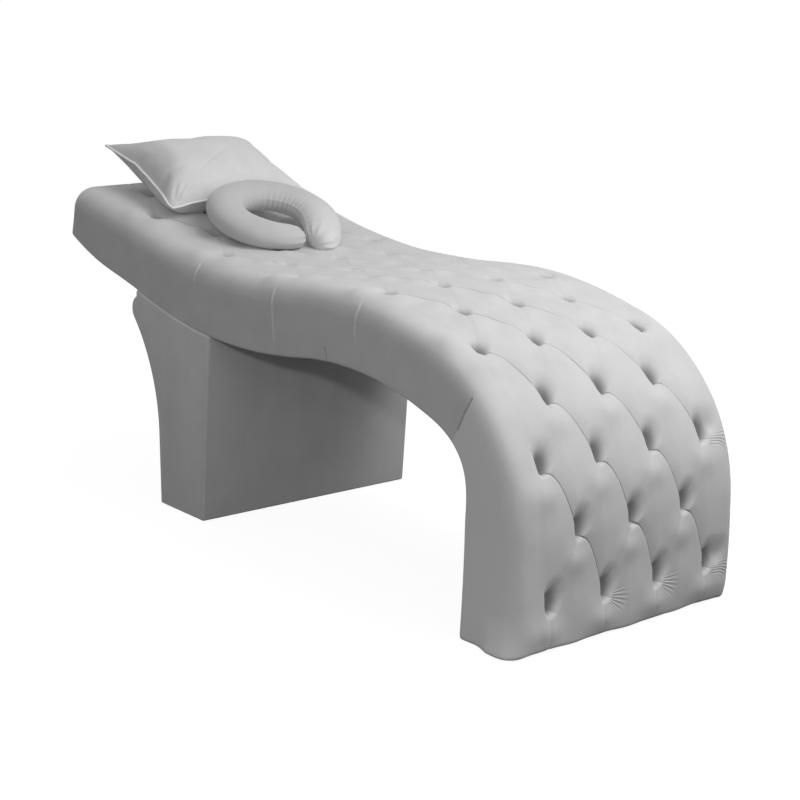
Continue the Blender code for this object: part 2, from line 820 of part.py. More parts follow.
def make_pillow():
    """Filled pillow, flat where it lies on the bed, with a piped seam round it."""
    middle, along, normal = pillow_frame()
    across = Vector((0.0, 1.0, 0.0))
    bed_up = tilted_axes(CREST_LENGTH, 0.0)[1]
    floor_at = place(CREST_LENGTH, 0.0, 0.0)
    bm = bmesh.new()
    steps = [2.0 * k / PILLOW_CELLS - 1.0 for k in range(PILLOW_CELLS + 1)]
    tops, bottoms = [], []
    for u in steps:
        top_row, bottom_row = [], []
        for v in steps:
            a, b = pillow_rim(u, v)
            seam = middle + along * a + across * b
            swell = pillow_swell(u, v)
            top_row.append(seam + normal * (PILLOW_CROWN * swell + PIPING_RADIUS / 2))
            low = seam - normal * (PILLOW_BELLY * swell + PIPING_RADIUS / 2)
            sunk = (low - floor_at).dot(bed_up)
            if sunk < 0.0:
                low -= bed_up * sunk
            bottom_row.append(low)
        tops.append(top_row)
        bottoms.append(bottom_row)
    close_between(bm, sheet_rows(bm, tops), sheet_rows(bm, bottoms))
    pillow = finish("pillow", bm, VELVET, smooth=True)
    return pillow, make_piping(middle, along, normal)


def make_piping(middle, along, normal):
    """Corded piping that runs once round the pillow's seam."""
    across = Vector((0.0, 1.0, 0.0))
    steps = [2.0 * k / PILLOW_CELLS - 1.0 for k in range(PILLOW_CELLS)]
    loop = [(u, -1.0) for u in steps] + [(1.0, v) for v in steps]
    loop += [(-u, 1.0) for u in steps] + [(-1.0, -v) for v in steps]
    bm = bmesh.new()
    rings = []
    count = len(loop)
    points = [Vector(pillow_rim(u, v)) for u, v in loop]
    for k, point in enumerate(points):
        before = (point - points[k - 1]).normalized()
        after = (points[(k + 1) % count] - point).normalized()
        out_before = Vector((before.y, -before.x))
        out_after = Vector((after.y, -after.x))
        out = out_before + out_after
        out = out / out.length_squared * 2.0
        reach = PIPING_RADIUS + GAP
        centre = point + out * reach
        ring = []
        for m in range(HOLE_SIDES):
            angle = 2 * math.pi * m / HOLE_SIDES
            flat = centre + out * (PIPING_RADIUS * math.cos(angle))
            place_at = middle + along * flat.x + across * flat.y
            ring.append(bm.verts.new(place_at + normal * (PIPING_RADIUS * math.sin(angle))))
        rings.append(ring)
    for k, ring in enumerate(rings):
        following = rings[(k + 1) % count]
        for m in range(HOLE_SIDES):
            n = (m + 1) % HOLE_SIDES
            bm.faces.new((ring[m], ring[n], following[n], following[m]))
    return finish("pillow_piping", bm, VELVET, smooth=True)


def neck_radius(from_end):
    """Half the width of the neck pillow's tube at a distance from its nearer end."""
    short = max(0.0, 1.0 - from_end / NECK_END)
    return max(NECK_END_RADIUS, NECK_TUBE * math.sqrt(1.0 - short ** 2))


def make_neck_pillow():
    """A fat open ring, thinner at its two rounded ends, leaning on the pillow at its closed side."""
    reach = NECK_LENGTH / 2 - NECK_TUBE
    spread = NECK_WIDTH / 2 - NECK_TUBE
    s_head = CREST_LENGTH - PILLOW_HEAD_MARGIN - PILLOW_LENGTH + NECK_LAP
    s = s_head - NECK_LENGTH / 2
    along, normal = tilted_axes(s, NECK_TILT)
    across = Vector((0.0, 1.0, 0.0))
    middle = place(s, -NECK_OFFSET, NECK_HEIGHT + NECK_LENGTH)
    flatness = NECK_HEIGHT / 2 / NECK_TUBE
    first = math.radians(NECK_TURN + NECK_MOUTH / 2)
    sweep = math.radians(360.0 - NECK_MOUTH)
    angles = [first + sweep * k / NECK_RINGS for k in range(NECK_RINGS + 1)]
    line = [along * (reach * math.cos(a)) + across * (spread * math.sin(a)) for a in angles]
    run = [0.0]
    for before, after in zip(line, line[1:]):
        run.append(run[-1] + (after - before).length)
    bm = bmesh.new()
    rings = []
    for angle, centre, done in zip(angles, line, run):
        out = (along * (math.cos(angle) * spread) + across * (math.sin(angle) * reach)).normalized()
        radius = neck_radius(min(done, run[-1] - done))
        ring = []
        for m in range(NECK_SIDES):
            turn = 2 * math.pi * m / NECK_SIDES
            from_line = out * (radius * math.cos(turn)) + normal * (radius * flatness * math.sin(turn))
            ring.append(bm.verts.new(middle + centre + from_line))
        rings.append(ring)
    for low, high in zip(rings, rings[1:]):
        for m in range(NECK_SIDES):
            n = (m + 1) % NECK_SIDES
            bm.faces.new((low[m], low[n], high[n], high[m]))
    bm.faces.new(rings[0][::-1])
    bm.faces.new(rings[-1])
    return finish("neck_pillow", bm, VELVET, smooth=True)


def main():
    clear_scene()
    make_frame()
    make_padding()
    make_covers()
    make_base()
    make_mounting()
    make_glides()
    pillow, piping = make_pillow()
    cover = bpy.data.objects["tufted_cover"]
    set_down([pillow, piping], [cover])
    neck = make_neck_pillow()
    set_down([neck], [cover, pillow, piping])


main()
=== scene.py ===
"""Looks of a deep-buttoned velvet facial bed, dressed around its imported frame."""

import math

import bmesh
import bpy
import numpy as np
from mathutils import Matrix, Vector


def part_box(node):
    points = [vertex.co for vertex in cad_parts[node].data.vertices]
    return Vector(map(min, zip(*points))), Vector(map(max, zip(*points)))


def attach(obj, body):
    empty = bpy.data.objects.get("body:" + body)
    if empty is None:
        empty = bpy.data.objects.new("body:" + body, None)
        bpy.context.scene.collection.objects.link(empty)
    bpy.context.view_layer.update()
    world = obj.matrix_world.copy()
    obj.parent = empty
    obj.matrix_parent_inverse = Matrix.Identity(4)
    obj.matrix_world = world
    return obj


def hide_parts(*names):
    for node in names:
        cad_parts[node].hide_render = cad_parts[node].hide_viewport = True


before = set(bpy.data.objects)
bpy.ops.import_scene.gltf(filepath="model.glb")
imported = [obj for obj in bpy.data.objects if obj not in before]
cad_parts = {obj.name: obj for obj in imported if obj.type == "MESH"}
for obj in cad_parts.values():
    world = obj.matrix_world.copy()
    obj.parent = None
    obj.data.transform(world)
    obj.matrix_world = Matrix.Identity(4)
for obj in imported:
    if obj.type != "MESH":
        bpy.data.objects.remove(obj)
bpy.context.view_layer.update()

# Crest line of the body, from the floor at the foot up and over to the head, in metres and degrees
LEG_LENGTH = 0.226
SHOULDER_RADIUS = 0.396
SHOULDER_TURN = 73.0
KNEE_RADIUS = 1.25
KNEE_TURN = 23.0
SEAT_RADIUS = 1.99
SEAT_TURN = 17.8
HEAD_LENGTH = 0.409
HEAD_TAPER = 0.22

# Thickness of the body along the crest line
LEG_THICKNESS = 0.167
SHOULDER_THICKNESS = 0.136
KNEE_THICKNESS = 0.155
SEAT_THICKNESS = 0.175
HEAD_THICKNESS = 0.158
HEAD_END_THICKNESS = 0.130

# Body and its buttons
BED_WIDTH = 0.62
EDGE_RADIUS = 0.060
GLIDE_HEIGHT = 0.004
COLUMNS = 3
COLUMN_PITCH = 0.075
FIRST_ROW = 0.086
LEG_ROWS = 4
LEG_ROW_PITCH = 0.1435
TOP_ROWS = 10
HEAD_ROW_MARGIN = 0.098
# How far the rows on the top are drawn towards the foot
ROW_DRAW = 0.025
FOOT_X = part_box("tufted_cover")[1][0]

# Shape of the tufts. A chain is a row of buttons that runs down and to the right, joined by one fold.
DIMPLE_DEPTH = 0.056
DIMPLE_LEAN = 14.0
# Reach of the dimples upwards, on the leg and on the top
DIMPLE_REACH_UP = (0.080, 0.060)
DIMPLE_REACH_DOWN = 0.030
DIMPLE_REACH_LEFT = 0.034
# Reach to the right at the tip of a dimple, and how it widens above
DIMPLE_TIP = 0.026
DIMPLE_FLARE = 0.45
DIMPLE_STEEPNESS = 2.0
DIMPLE_WALL = 0.014
# Wider roll of the cushion right below a dimple, and below one at the end of its chain
SOFT_WALL = 0.014
END_WALL = 2.2 * SOFT_WALL
# Cushions of the top on the head side of their buttons
LOBE = 0.007
LOBE_PLACE = (0.052, -0.030)
LOBE_REACH = 0.030
BUTTON_RADIUS = 0.007
# Depths in a dimple between which painted shade darkens it
PAINTED_SHADE_START = 0.002
PAINTED_SHADE_DEPTH = 0.019
# Bow of the folds and their drop below the buttons, as shares of the distance between rows
FOLD_SEARCH = 0.6
FOLD_BOW = 0.34
FOLD_BLUNTNESS = 0.8
FOLD_TURN = 0.07
FOLD_DROP = 0.03
FOLD_DEPTH = 0.0050
FOLD_WIDTH = 0.026
SLIT_DEPTH = 0.0100
SLIT_WIDTH = 0.004
# Width of the painted shadow line in a fold: below it, and above it on the leg and on the top
SHADOW_LINE_BELOW = 0.004
SHADOW_LINE_ABOVE = (0.0045, 0.013)
FOLD_WALL = 0.006
FOLD_LIP = 0.0030
DIMPLE_LIP = 0.0035
LIP_WIDTH = 0.024
# Cushions below their buttons, and between the chains
BULGE = 0.008
BULGE_REACH = 0.032
BULGE_PLACE = (-0.048, -0.004)
CROWN = 0.003
PLEAT_DEPTH = 0.0030
PLEAT_WIDTH = 0.009
CROSS_FOLD_DEPTH = 0.0032
CROSS_FOLD_WIDTH = 0.010
# Fans of wrinkles to the right of some buttons on the leg, with angles from straight across in degrees
FANS = ((0, -1), (0, 1), (0, 3), (2, 3))
FAN_TURN = -17.0
FAN_SPREAD = 30.0
FAN_PITCH = 10.0
FAN_DEPTH = 0.0011
FAN_START = 0.018
FAN_MIDDLE = 0.036
FAN_END = 0.078
FAN_CUTS = 2
# Limits between which the folds and dimples differ from each other
FOLD_VARIETY = (0.6, 1.25)
SHADOW_LINE_VARIETY = (0.6, 1.0)
SLIT_VARIETY = (0.7, 1.2)
DIMPLE_VARIETY = (0.92, 1.08)

# Grid of the cover
STEPS_PER_ROW = 30
FOLD_CROWDING = 0.55
SIDE_STEPS = 18
CORNER_STEPS = 4
UNDER_STEPS = 10
TUFT_SEED = 7


def limited(value):
    """A value kept between nought and one."""
    return np.clip(value, 0.0, 1.0)


def bell(value):
    return np.exp(-value ** 2)


def quarter_drop(share):
    """How far a quarter circle has fallen at a share of its reach."""
    return 1.0 - np.sqrt(np.maximum(0.0, 1.0 - share * share))


def smooth_step(low, high, value):
    share = limited((value - low) / (high - low))
    return share * share * (3.0 - 2.0 * share)


# Crest line, worked out for whole arrays of distances


def crest_marks():
    """Distances along the crest line where it changes its bend, and how far it has turned there."""
    shoulder = math.radians(SHOULDER_TURN)
    knee = math.radians(KNEE_TURN)
    seat = math.radians(SEAT_TURN)
    bends = [SHOULDER_RADIUS * shoulder, KNEE_RADIUS * knee, SEAT_RADIUS * seat]
    lengths = [0.0, LEG_LENGTH, *bends, HEAD_LENGTH]
    turns = [0.0, 0.0, shoulder, knee, -seat, 0.0]
    return np.cumsum(lengths), np.cumsum(turns)


MARKS, TURNS = crest_marks()
CREST_LENGTH = MARKS[-1]
SHOULDER_END = MARKS[2]
SEAT_MIDDLE = (MARKS[3] + MARKS[4]) / 2
FINE_STEPS = 4000


def crest_table():
    """Fine table of the crest line, added up from its heading."""
    s = np.linspace(0.0, CREST_LENGTH, FINE_STEPS + 1)
    middle = (s[1:] + s[:-1]) / 2
    turn = np.interp(middle, MARKS, TURNS)
    step = CREST_LENGTH / FINE_STEPS
    x = FOOT_X - np.concatenate([[0.0], np.cumsum(np.sin(turn) * step)])
    z = GLIDE_HEIGHT + np.concatenate([[0.0], np.cumsum(np.cos(turn) * step)])
    return s, x, z


TABLE_S, TABLE_X, TABLE_Z = crest_table()


def crest_point(s):
    """Point and outward normal in the XZ plane; past both ends the line runs on straight."""
    inside = np.clip(s, 0.0, CREST_LENGTH)
    turn = np.interp(inside, MARKS, TURNS)
    past = s - inside
    x = np.interp(inside, TABLE_S, TABLE_X) - np.sin(turn) * past
    z = np.interp(inside, TABLE_S, TABLE_Z) + np.cos(turn) * past
    return x, z, np.cos(turn), np.sin(turn)


def body_thickness(s):
    shoulder = (LEG_LENGTH + SHOULDER_END) / 2
    marks = [LEG_LENGTH, shoulder, SHOULDER_END, SEAT_MIDDLE, CREST_LENGTH - HEAD_TAPER]
    sizes = [LEG_THICKNESS, SHOULDER_THICKNESS, KNEE_THICKNESS, SEAT_THICKNESS, HEAD_THICKNESS]
    result = np.full_like(s, LEG_THICKNESS)
    for s0, s1, t0, t1 in zip(marks, marks[1:], sizes, sizes[1:]):
        ease = (1.0 - np.cos(np.pi * limited((s - s0) / (s1 - s0)))) / 2
        result = np.where(s > s0, t0 + (t1 - t0) * ease, result)
    share = limited((s - marks[-1]) / HEAD_TAPER)
    return result + (HEAD_END_THICKNESS - HEAD_THICKNESS) * share ** 2


# Section of the body, measured round from the middle of its top to the middle of its underside

FLAT_HALF = BED_WIDTH / 2 - EDGE_RADIUS
EDGE_END = FLAT_HALF + EDGE_RADIUS * math.pi / 2
CORNER_RADIUS = 0.005
# How square the long edges are at distances along the crest line: 2 is a quarter of a circle
SQUARE_MARKS = (0.0, 0.09, 0.35, 0.75, 1.2)
SQUARENESS = (5.0, 4.0, 3.4, 2.6, 2.3)
FAR_SQUARENESS = 1.6
UNDER_HALF = BED_WIDTH / 2 - CORNER_RADIUS


def rounded_edge(turn, power):
    """Quarter of a circle, or of a squarer curve where the power is above 2."""
    return np.sin(turn) ** (2.0 / power), np.cos(turn) ** (2.0 / power)


def section_place(s, q):
    """Across, height and outward directions of a point at a distance round the section."""
    side = np.sign(q)
    reach = np.abs(q)
    side_length = body_thickness(np.clip(s, 0.0, CREST_LENGTH)) - EDGE_RADIUS - CORNER_RADIUS
    edge = np.clip((reach - FLAT_HALF) / EDGE_RADIUS, 0.0, math.pi / 2)
    power = np.interp(s, SQUARE_MARKS, SQUARENESS) * np.where(q > 0.0, FAR_SQUARENESS, 1.0)
    edge_out, edge_up = rounded_edge(edge, power)
    below = np.clip(reach - EDGE_END, 0.0, side_length)
    corner = np.clip((reach - EDGE_END - side_length) / CORNER_RADIUS, 0.0, math.pi / 2)
    under = np.maximum(reach - EDGE_END - side_length - CORNER_RADIUS * math.pi / 2, 0.0)
    across = np.minimum(reach, FLAT_HALF) + EDGE_RADIUS * edge_out
    across = across - CORNER_RADIUS * (1.0 - np.cos(corner)) - np.minimum(under, UNDER_HALF)
    height = -EDGE_RADIUS * (1.0 - edge_up) - below - CORNER_RADIUS * np.sin(corner)
    out_y = np.sin(edge) * np.cos(corner)
    out_up = np.cos(edge) - np.sin(corner)
    return side * across, height, side * out_y, out_up


def body_place(s, q, lift):
    """World points on the body, lifted off its smooth surface."""
    x, z, nx, nz = crest_point(s)
    across, height, out_y, out_up = section_place(s, q)
    rise = height + lift * out_up
    return np.stack([x + nx * rise, across + lift * out_y, z + nz * rise], axis=-1)


# Rows of buttons and the folds between them


def button_rows():
    leg = [FIRST_ROW + LEG_ROW_PITCH * k for k in range(LEG_ROWS)]
    pitch = (CREST_LENGTH - HEAD_ROW_MARGIN - leg[-1]) / TOP_ROWS
    rows = np.array(leg + [leg[-1] + pitch * (k + 1) for k in range(TOP_ROWS)])
    return rows - ROW_DRAW * smooth_step(LEG_ROWS - 1.5, LEG_ROWS + 1.0, np.arange(len(rows)))


ROWS = button_rows()
LAST_ROW = len(ROWS) - 1


def has_button(row, column):
    return (row + column) % 2 == 1 and 0 <= row <= LAST_ROW and abs(column) <= COLUMNS


BUTTONS = [(k, c) for k in range(LAST_ROW + 1) for c in range(-COLUMNS, COLUMNS + 1) if has_button(k, c)]


def lattice(row, column):
    return ROWS[row], column * COLUMN_PITCH


def rolled(distance, width):
    """Share of a fold's depth at a distance from it, up the rounded edge of a cushion."""
    return quarter_drop(1.0 - limited(np.abs(distance) / width))


def along_line(s, q, start, end):
    """Share of the way along a straight line, and the distance from it."""
    ds = end[0] - start[0]
    dq = end[1] - start[1]
    length = math.hypot(ds, dq)
    share = ((s - start[0]) * ds + (q - start[1]) * dq) / length ** 2
    beside = ((q - start[1]) * ds - (s - start[0]) * dq) / length
    return share, beside


def blunt_max(first, second, power=4.0):
    return (np.maximum(first, 0.0) ** power + np.maximum(second, 0.0) ** power) ** (1.0 / power)


TOP_ROW_PITCH = ROWS[-1] - ROWS[-2]
ROW_MARKS = np.concatenate([[ROWS[0] - LEG_ROW_PITCH], ROWS, [ROWS[-1] + TOP_ROW_PITCH]])
ROW_NUMBERS = np.arange(-1.0, LAST_ROW + 2.0)


def row_number(s):
    """Whole and broken row numbers at distances along the crest line."""
    return np.interp(s, ROW_MARKS, ROW_NUMBERS)


def row_pitch(row):
    return np.interp(row, [LEG_ROWS - 1.5, LEG_ROWS - 0.5], [LEG_ROW_PITCH, TOP_ROW_PITCH])


def fold_wave(column):
    """How far the folds bow up from the straight line through the buttons, in rows."""
    rounded = np.sin(np.pi * column) ** 2 + FOLD_TURN ** 2
    return FOLD_BOW * (rounded ** (FOLD_BLUNTNESS / 2.0) - FOLD_TURN ** FOLD_BLUNTNESS) - FOLD_DROP


def fold_place(chain, column):
    """Distance along the crest line of a chain's fold at a column."""
    return np.interp(chain - column + fold_wave(column), ROW_NUMBERS, ROW_MARKS)


class Chains:
    """Where points lie in the chains of buttons: which chain, and how far from its fold."""

    def __init__(self, s, q):
        self.column = q / COLUMN_PITCH
        row = row_number(s)
        above = row + self.column - fold_wave(self.column)
        self.chain = (2 * np.floor(above / 2.0) + 1).astype(int)
        self.share = above - self.chain
        self.foot = self.column
        self.distance = np.abs(s - fold_place(self.chain, self.column))
        for reach, steps in ((FOLD_SEARCH, 20), (FOLD_SEARCH / 20, 6), (FOLD_SEARCH / 120, 4)):
            around = self.foot
            for k in range(-steps, steps + 1):
                self.try_foot(s, q, around + reach * k / steps)
        side = np.where(self.share > 0.0, 1.0, -1.0)
        size = np.maximum(self.distance, 0.00001)
        self.beside = side * self.distance
        self.way = (
            side * (s - fold_place(self.chain, self.foot)) / size,
            side * (q - self.foot * COLUMN_PITCH) / size,
        )

    def try_foot(self, s, q, column):
        """Keep a place on the fold where it is nearer than the one found before."""
        distance = np.hypot(s - fold_place(self.chain, column), q - column * COLUMN_PITCH)
        nearer = distance < self.distance
        self.foot = np.where(nearer, column, self.foot)
        self.distance = np.where(nearer, distance, self.distance)

    def has_fold(self, left):
        """Whether the fold to the right of a column lies between two buttons."""
        lower = self.chain - left - 1
        return (left >= -COLUMNS) & (left < COLUMNS) & (lower >= 0) & (lower < LAST_ROW)

    def has_button(self, column):
        row = self.chain - column
        return (np.abs(column) <= COLUMNS) & (row >= 0) & (row <= LAST_ROW)


def varied(chain, column, low, high):
    """A value between two limits for each button or fold, always the same one."""
    table = np.random.default_rng(TUFT_SEED).uniform(low, high, (64, 16))
    return table[chain % 64, column % 16]


class Tufting:
    """Depth of the tufts and the shift of the cloth along the surface, for arrays of points."""

    def __init__(self, s, q):
        self.s = s
        self.q = q
        self.depth = np.zeros_like(s)
        # Painted shadow along the folds and the seams
        self.crease = np.zeros_like(s)
        self.brushed_pile_and_painted_highlight = np.zeros_like(s)
        self.shift_s = np.zeros_like(s)
        self.shift_q = np.zeros_like(s)
        self.chains = Chains(s, q)

    def add_chains(self):
        """The folds and dimples of every chain; the cushion below a fold stands up beside it."""
        chains = self.chains
        left = np.floor(chains.foot).astype(int)
        folded = chains.has_fold(left)
        strength = FOLD_DEPTH * varied(chains.chain, left, *FOLD_VARIETY)
        slope = limited(1.0 - chains.beside / FOLD_WIDTH) ** 2
        slit = limited(1.0 - np.abs(chains.beside) / SLIT_WIDTH)
        # Painted shadow line along the fold, wider on its upper side
        width = np.interp(row_number(self.s), [LEG_ROWS - 1.0, LEG_ROWS + 1.0], SHADOW_LINE_ABOVE)
        width = np.where(chains.beside > 0.0, width, SHADOW_LINE_BELOW)
        dark = limited(1.0 - np.abs(chains.beside) / width) ** 0.7
        self.crease = np.where(folded, dark, 0.0) * varied(chains.chain, left, *SHADOW_LINE_VARIETY)
        slit = SLIT_DEPTH * varied(chains.chain, left, *SLIT_VARIETY) * slit
        fold = np.where(folded, strength * slope + slit, 0.0)
        lip = np.where(folded, FOLD_LIP, 0.0)
        near = np.floor(chains.column).astype(int)
        dimple = np.maximum(self.dimple_at(near), self.dimple_at(near + 1))
        fullness = dimple / DIMPLE_DEPTH
        wall = FOLD_WALL + (DIMPLE_WALL - FOLD_WALL) * limited(2.0 * fullness)
        soft = np.where(folded, SOFT_WALL, END_WALL)
        wall = wall + soft * limited(chains.way[0]) ** 2 * limited(3.0 * fullness)
        kept = np.where(chains.beside > 0.0, 1.0, rolled(chains.beside, wall))
        self.depth = blunt_max(fold, dimple) * kept
        lip = lip + (DIMPLE_LIP - FOLD_LIP) * limited(3.0 * fullness)
        below = limited(-chains.beside / LIP_WIDTH)
        push = lip * np.sin(np.pi * np.sqrt(below))
        self.shift_s += push * chains.way[0]
        self.shift_q += push * chains.way[1]

    def dimple_at(self, column):
        """A slack funnel that leans up and to the right from each button."""
        chains = self.chains
        row = np.clip(chains.chain - column, 0, LAST_ROW)
        ds = self.s - ROWS[row]
        dq = self.q - column * COLUMN_PITCH
        lean = math.radians(DIMPLE_LEAN)
        up = ds * math.cos(lean) + dq * math.sin(lean)
        right = dq * math.cos(lean) - ds * math.sin(lean)
        far_up = np.interp(row, [LEG_ROWS - 1.0, LEG_ROWS + 1.0], DIMPLE_REACH_UP)
        reach_up = np.where(up > 0.0, far_up, DIMPLE_REACH_DOWN)
        flared = DIMPLE_TIP + DIMPLE_FLARE * np.maximum(up, 0.0)
        reach_right = np.where(right > 0.0, flared, DIMPLE_REACH_LEFT)
        distance = np.sqrt((up / reach_up) ** 2 + (right / reach_right) ** 2)
        share = limited(distance)
        depth = DIMPLE_DEPTH * varied(chains.chain, column, *DIMPLE_VARIETY)
        return np.where(chains.has_button(column), depth * (1.0 - share) ** DIMPLE_STEEPNESS, 0.0)

    def add_swelling(self, row, column, place, height, reach):
        """A cushion swells beside a button where the cloth is pulled over it."""
        s0, q0 = lattice(row, column)
        away = np.hypot(self.s - s0 - place[0], self.q - q0 - place[1]) / reach
        self.depth -= height * bell(away)

    def add_pleat(self, start, end, depth, width):
        """A straight pleat that runs out from a button and fades."""
        share, beside = along_line(self.s, self.q, start, end)
        fade = np.where(share > 0.0, 1.0 - smooth_step(0.45, 1.0, share), 0.0)
        self.depth += depth * fade * rolled(beside, width)

    def add_cross_fold(self, upper, lower):
        """A faint fold the other way between two buttons, clearest near both."""
        share, beside = along_line(self.s, self.q, lattice(*upper), lattice(*lower))
        ends = np.where((share > 0.0) & (share < 1.0), 0.35 + 0.65 * np.abs(2.0 * share - 1.0), 0.0)
        self.depth += CROSS_FOLD_DEPTH * ends * rolled(beside, CROSS_FOLD_WIDTH)

    def add_fan(self, row, column):
        """Fine wrinkles that spread to the right of a button."""
        s0, q0 = lattice(row, column)
        away = np.hypot(self.s - s0, self.q - q0)
        angle = np.degrees(np.arctan2(self.s - s0, self.q - q0))
        spread = limited(1.0 - np.abs(angle - FAN_TURN) / FAN_SPREAD)
        length = smooth_step(FAN_START, FAN_MIDDLE, away) * (1.0 - smooth_step(FAN_MIDDLE, FAN_END, away))
        self.depth += FAN_DEPTH * length * np.sqrt(spread) * np.cos(2.0 * np.pi * angle / FAN_PITCH)

    def add_seam(self, start, end):
        """A narrow groove down both sides, with painted shade along it."""
        share, beside = along_line(self.s, np.abs(self.q), start, end)
        along = (share > 0.0) & (share < 1.0)
        groove = np.where(along, limited(1.0 - np.abs(beside) / SEAM_WIDTH), 0.0)
        self.depth += SEAM_DEPTH * groove
        # Painted shade along the groove
        self.crease = np.maximum(self.crease, groove)
        return beside

    def add_side_seams(self):
        """The seam where the leg's side panels begin, whose pile lies the other way."""
        beside = self.add_seam(*SIDE_SEAM)
        self.add_seam(*SIDE_TUCK)
        on_side = smooth_step(EDGE_END - EDGE_RADIUS, EDGE_END, np.abs(self.q))
        self.brushed_pile_and_painted_highlight = on_side * smooth_step(-SEAM_WIDTH, SEAM_WIDTH, beside)

    def add_side_pull(self, row):
        """A thin fold down both sides from the outer button of a row."""
        start = (ROWS[row], EDGE_END - EDGE_RADIUS)
        end = (ROWS[row], EDGE_END + SIDE_PULLS[row])
        share, beside = along_line(self.s, np.abs(self.q), start, end)
        fade = smooth_step(0.0, 0.25, share) * (1.0 - smooth_step(0.75, 1.0, share))
        self.depth += PULL_DEPTH * fade * bell(beside / PULL_WIDTH)
        self.depth -= PULL_DEPTH * fade * bell((beside + PULL_RIDGE) / PULL_WIDTH)

    def add_crowns(self):
        """The cushions between the chains stand a little proud of the smooth surface."""
        inside = smooth_step(EDGE_END, FLAT_HALF - EDGE_RADIUS, np.abs(self.q))
        ends = smooth_step(0.0, FIRST_ROW, self.s) * smooth_step(CREST_LENGTH, ROWS[-1], self.s)
        self.depth -= CROWN * (1.0 - np.cos(np.pi * self.chains.share)) / 2.0 * inside * ends


HEM_ROOM = 0.06
# Lines down the side, by distances along the crest line and round the section
SIDE_SEAM = ((0.565, EDGE_END - 0.032), (0.540, EDGE_END + 0.044))
SIDE_TUCK = ((1.108, EDGE_END + 0.071), (1.100, EDGE_END + 0.104))
SEAM_WIDTH = 0.0035
SEAM_DEPTH = 0.0020
# How far down the side the pull of an outer button shows, by its row
SIDE_PULLS = {6: 0.040, 8: 0.095, 10: 0.010}
PULL_DEPTH = 0.0022
PULL_WIDTH = 0.0036
# The ridge beside a pull
PULL_RIDGE = 1.6 * PULL_WIDTH


def tufted_surface(s, q):
    """Depth below the smooth surface and the sideways shifts of every point."""
    tufts = Tufting(s, q)
    tufts.add_chains()
    for row, column in BUTTONS:
        tufts.add_swelling(row, column, BULGE_PLACE, BULGE, BULGE_REACH)
        if row >= LEG_ROWS:
            tufts.add_swelling(row, column, LOBE_PLACE, LOBE, LOBE_REACH)
        place = lattice(row, column)
        if has_button(row - 1, column - 1):
            tufts.add_cross_fold((row, column), (row - 1, column - 1))
        if row == 0:
            tufts.add_pleat(place, (-HEM_ROOM, place[1]), PLEAT_DEPTH, PLEAT_WIDTH)
        if row == LAST_ROW:
            tufts.add_pleat(place, (CREST_LENGTH + HEM_ROOM, place[1]), PLEAT_DEPTH, PLEAT_WIDTH)
    for row, column in FANS:
        tufts.add_fan(row, column)
    for row in SIDE_PULLS:
        tufts.add_side_pull(row)
    tufts.add_side_seams()
    tufts.add_crowns()
    return tufts


def drawn_to_folds(s, q):
    """Grid points moved along the bed, so that their diagonals lie on the folds and crowd round them."""
    column = q / COLUMN_PITCH
    row = row_number(s)
    wave = fold_wave(column)
    chain = 2.0 * np.floor((row + column) / 2.0) + 1.0
    share = row + column - chain
    crowded = share * (FOLD_CROWDING + (1.0 - FOLD_CROWDING) * share ** 2)
    moved = crowded - share + wave * (1.0 - np.abs(share))
    inside = 1.0 - smooth_step(COLUMNS + 0.3, COLUMNS + 0.9, np.abs(column))
    inside = inside * smooth_step(-0.6, -0.2, row) * smooth_step(LAST_ROW + 0.5, LAST_ROW + 0.2, row)
    return s + moved * inside * row_pitch(row)


# Helpers for new pieces


def new_object(name, data):
    made = bpy.data.objects.new(name, data)
    bpy.context.scene.collection.objects.link(made)
    return made


def of_kind(made, kind):
    return [item for item in made["geom"] if isinstance(item, kind)]


def new_piece(name, bm, material):
    mesh = bpy.data.meshes.new(name)
    bm.to_mesh(mesh)
    bm.free()
    mesh.shade_smooth()
    mesh.materials.append(material)
    return new_object(name, mesh)


def set_points(bm, points):
    for vert, point in zip(bm.verts, points):
        vert.co = point


def mark_verts(bm, name, amounts):
    layer = bm.verts.layers.float.new(name)
    for vert, amount in zip(bm.verts, amounts):
        vert[layer] = amount


def grid_places(bm, columns, rows):
    """Column and row of every vertex of a unit grid."""
    flat = np.array([vert.co[:2] for vert in bm.verts]) + 0.5
    return flat[:, 0] * columns, flat[:, 1] * rows


def unit_grid(columns, rows):
    bm = bmesh.new()
    bmesh.ops.create_grid(bm, x_segments=columns, y_segments=rows, size=0.5)
    return bm


def close_tube(bm):
    """Sew the grid's two meeting edges together and close both ends."""
    bmesh.ops.remove_doubles(bm, verts=bm.verts[:], dist=0.00001)
    rims = [edge for edge in bm.edges if edge.is_boundary]
    bmesh.ops.holes_fill(bm, edges=rims)
    bmesh.ops.recalc_face_normals(bm, faces=bm.faces[:])


# Bed cover

# How far the hem of the leg is drawn in, near and far, and how far it stands out on the near side
HEM_TUCK = -0.002
HEM_TUCK_FAR = 0.008
HEM_TUCK_REACH = 0.20
HEM_FLARE = 0.009
HEM_FLARE_REACH = 0.24
# How far round the underside that takes to fade
UNDER_FADE = 0.10
# How far the hem of the leg rolls under, away from its near corner
HEM_ROLL = 0.005
HEM_ROLL_HEIGHT = 0.045
# The near corner of the hem stands out
CORNER_KICK = 0.014
CORNER_KICK_HEIGHT = 0.080
CORNER_KICK_WIDTH = 0.038
# The far edge of the top lies a little lower than the near one, by distances along the crest line
FAR_SAG = 0.011
FAR_SAG_MARKS = (0.45, 0.75, 1.15, 1.40)
FAR_SAG_SHARES = (0.0, 1.0, 1.0, 0.5)
# The hem waves between the buttons and hangs a little below the frame
HEM_WAVE = 0.004
HEM_DROP = 0.0025
# Roll of the cover over the two ends
FOOT_ROUND = 0.010
HEAD_ROUND = 0.012
# Share of that roll which is left on the underside
UNDER_ROUND = 0.35


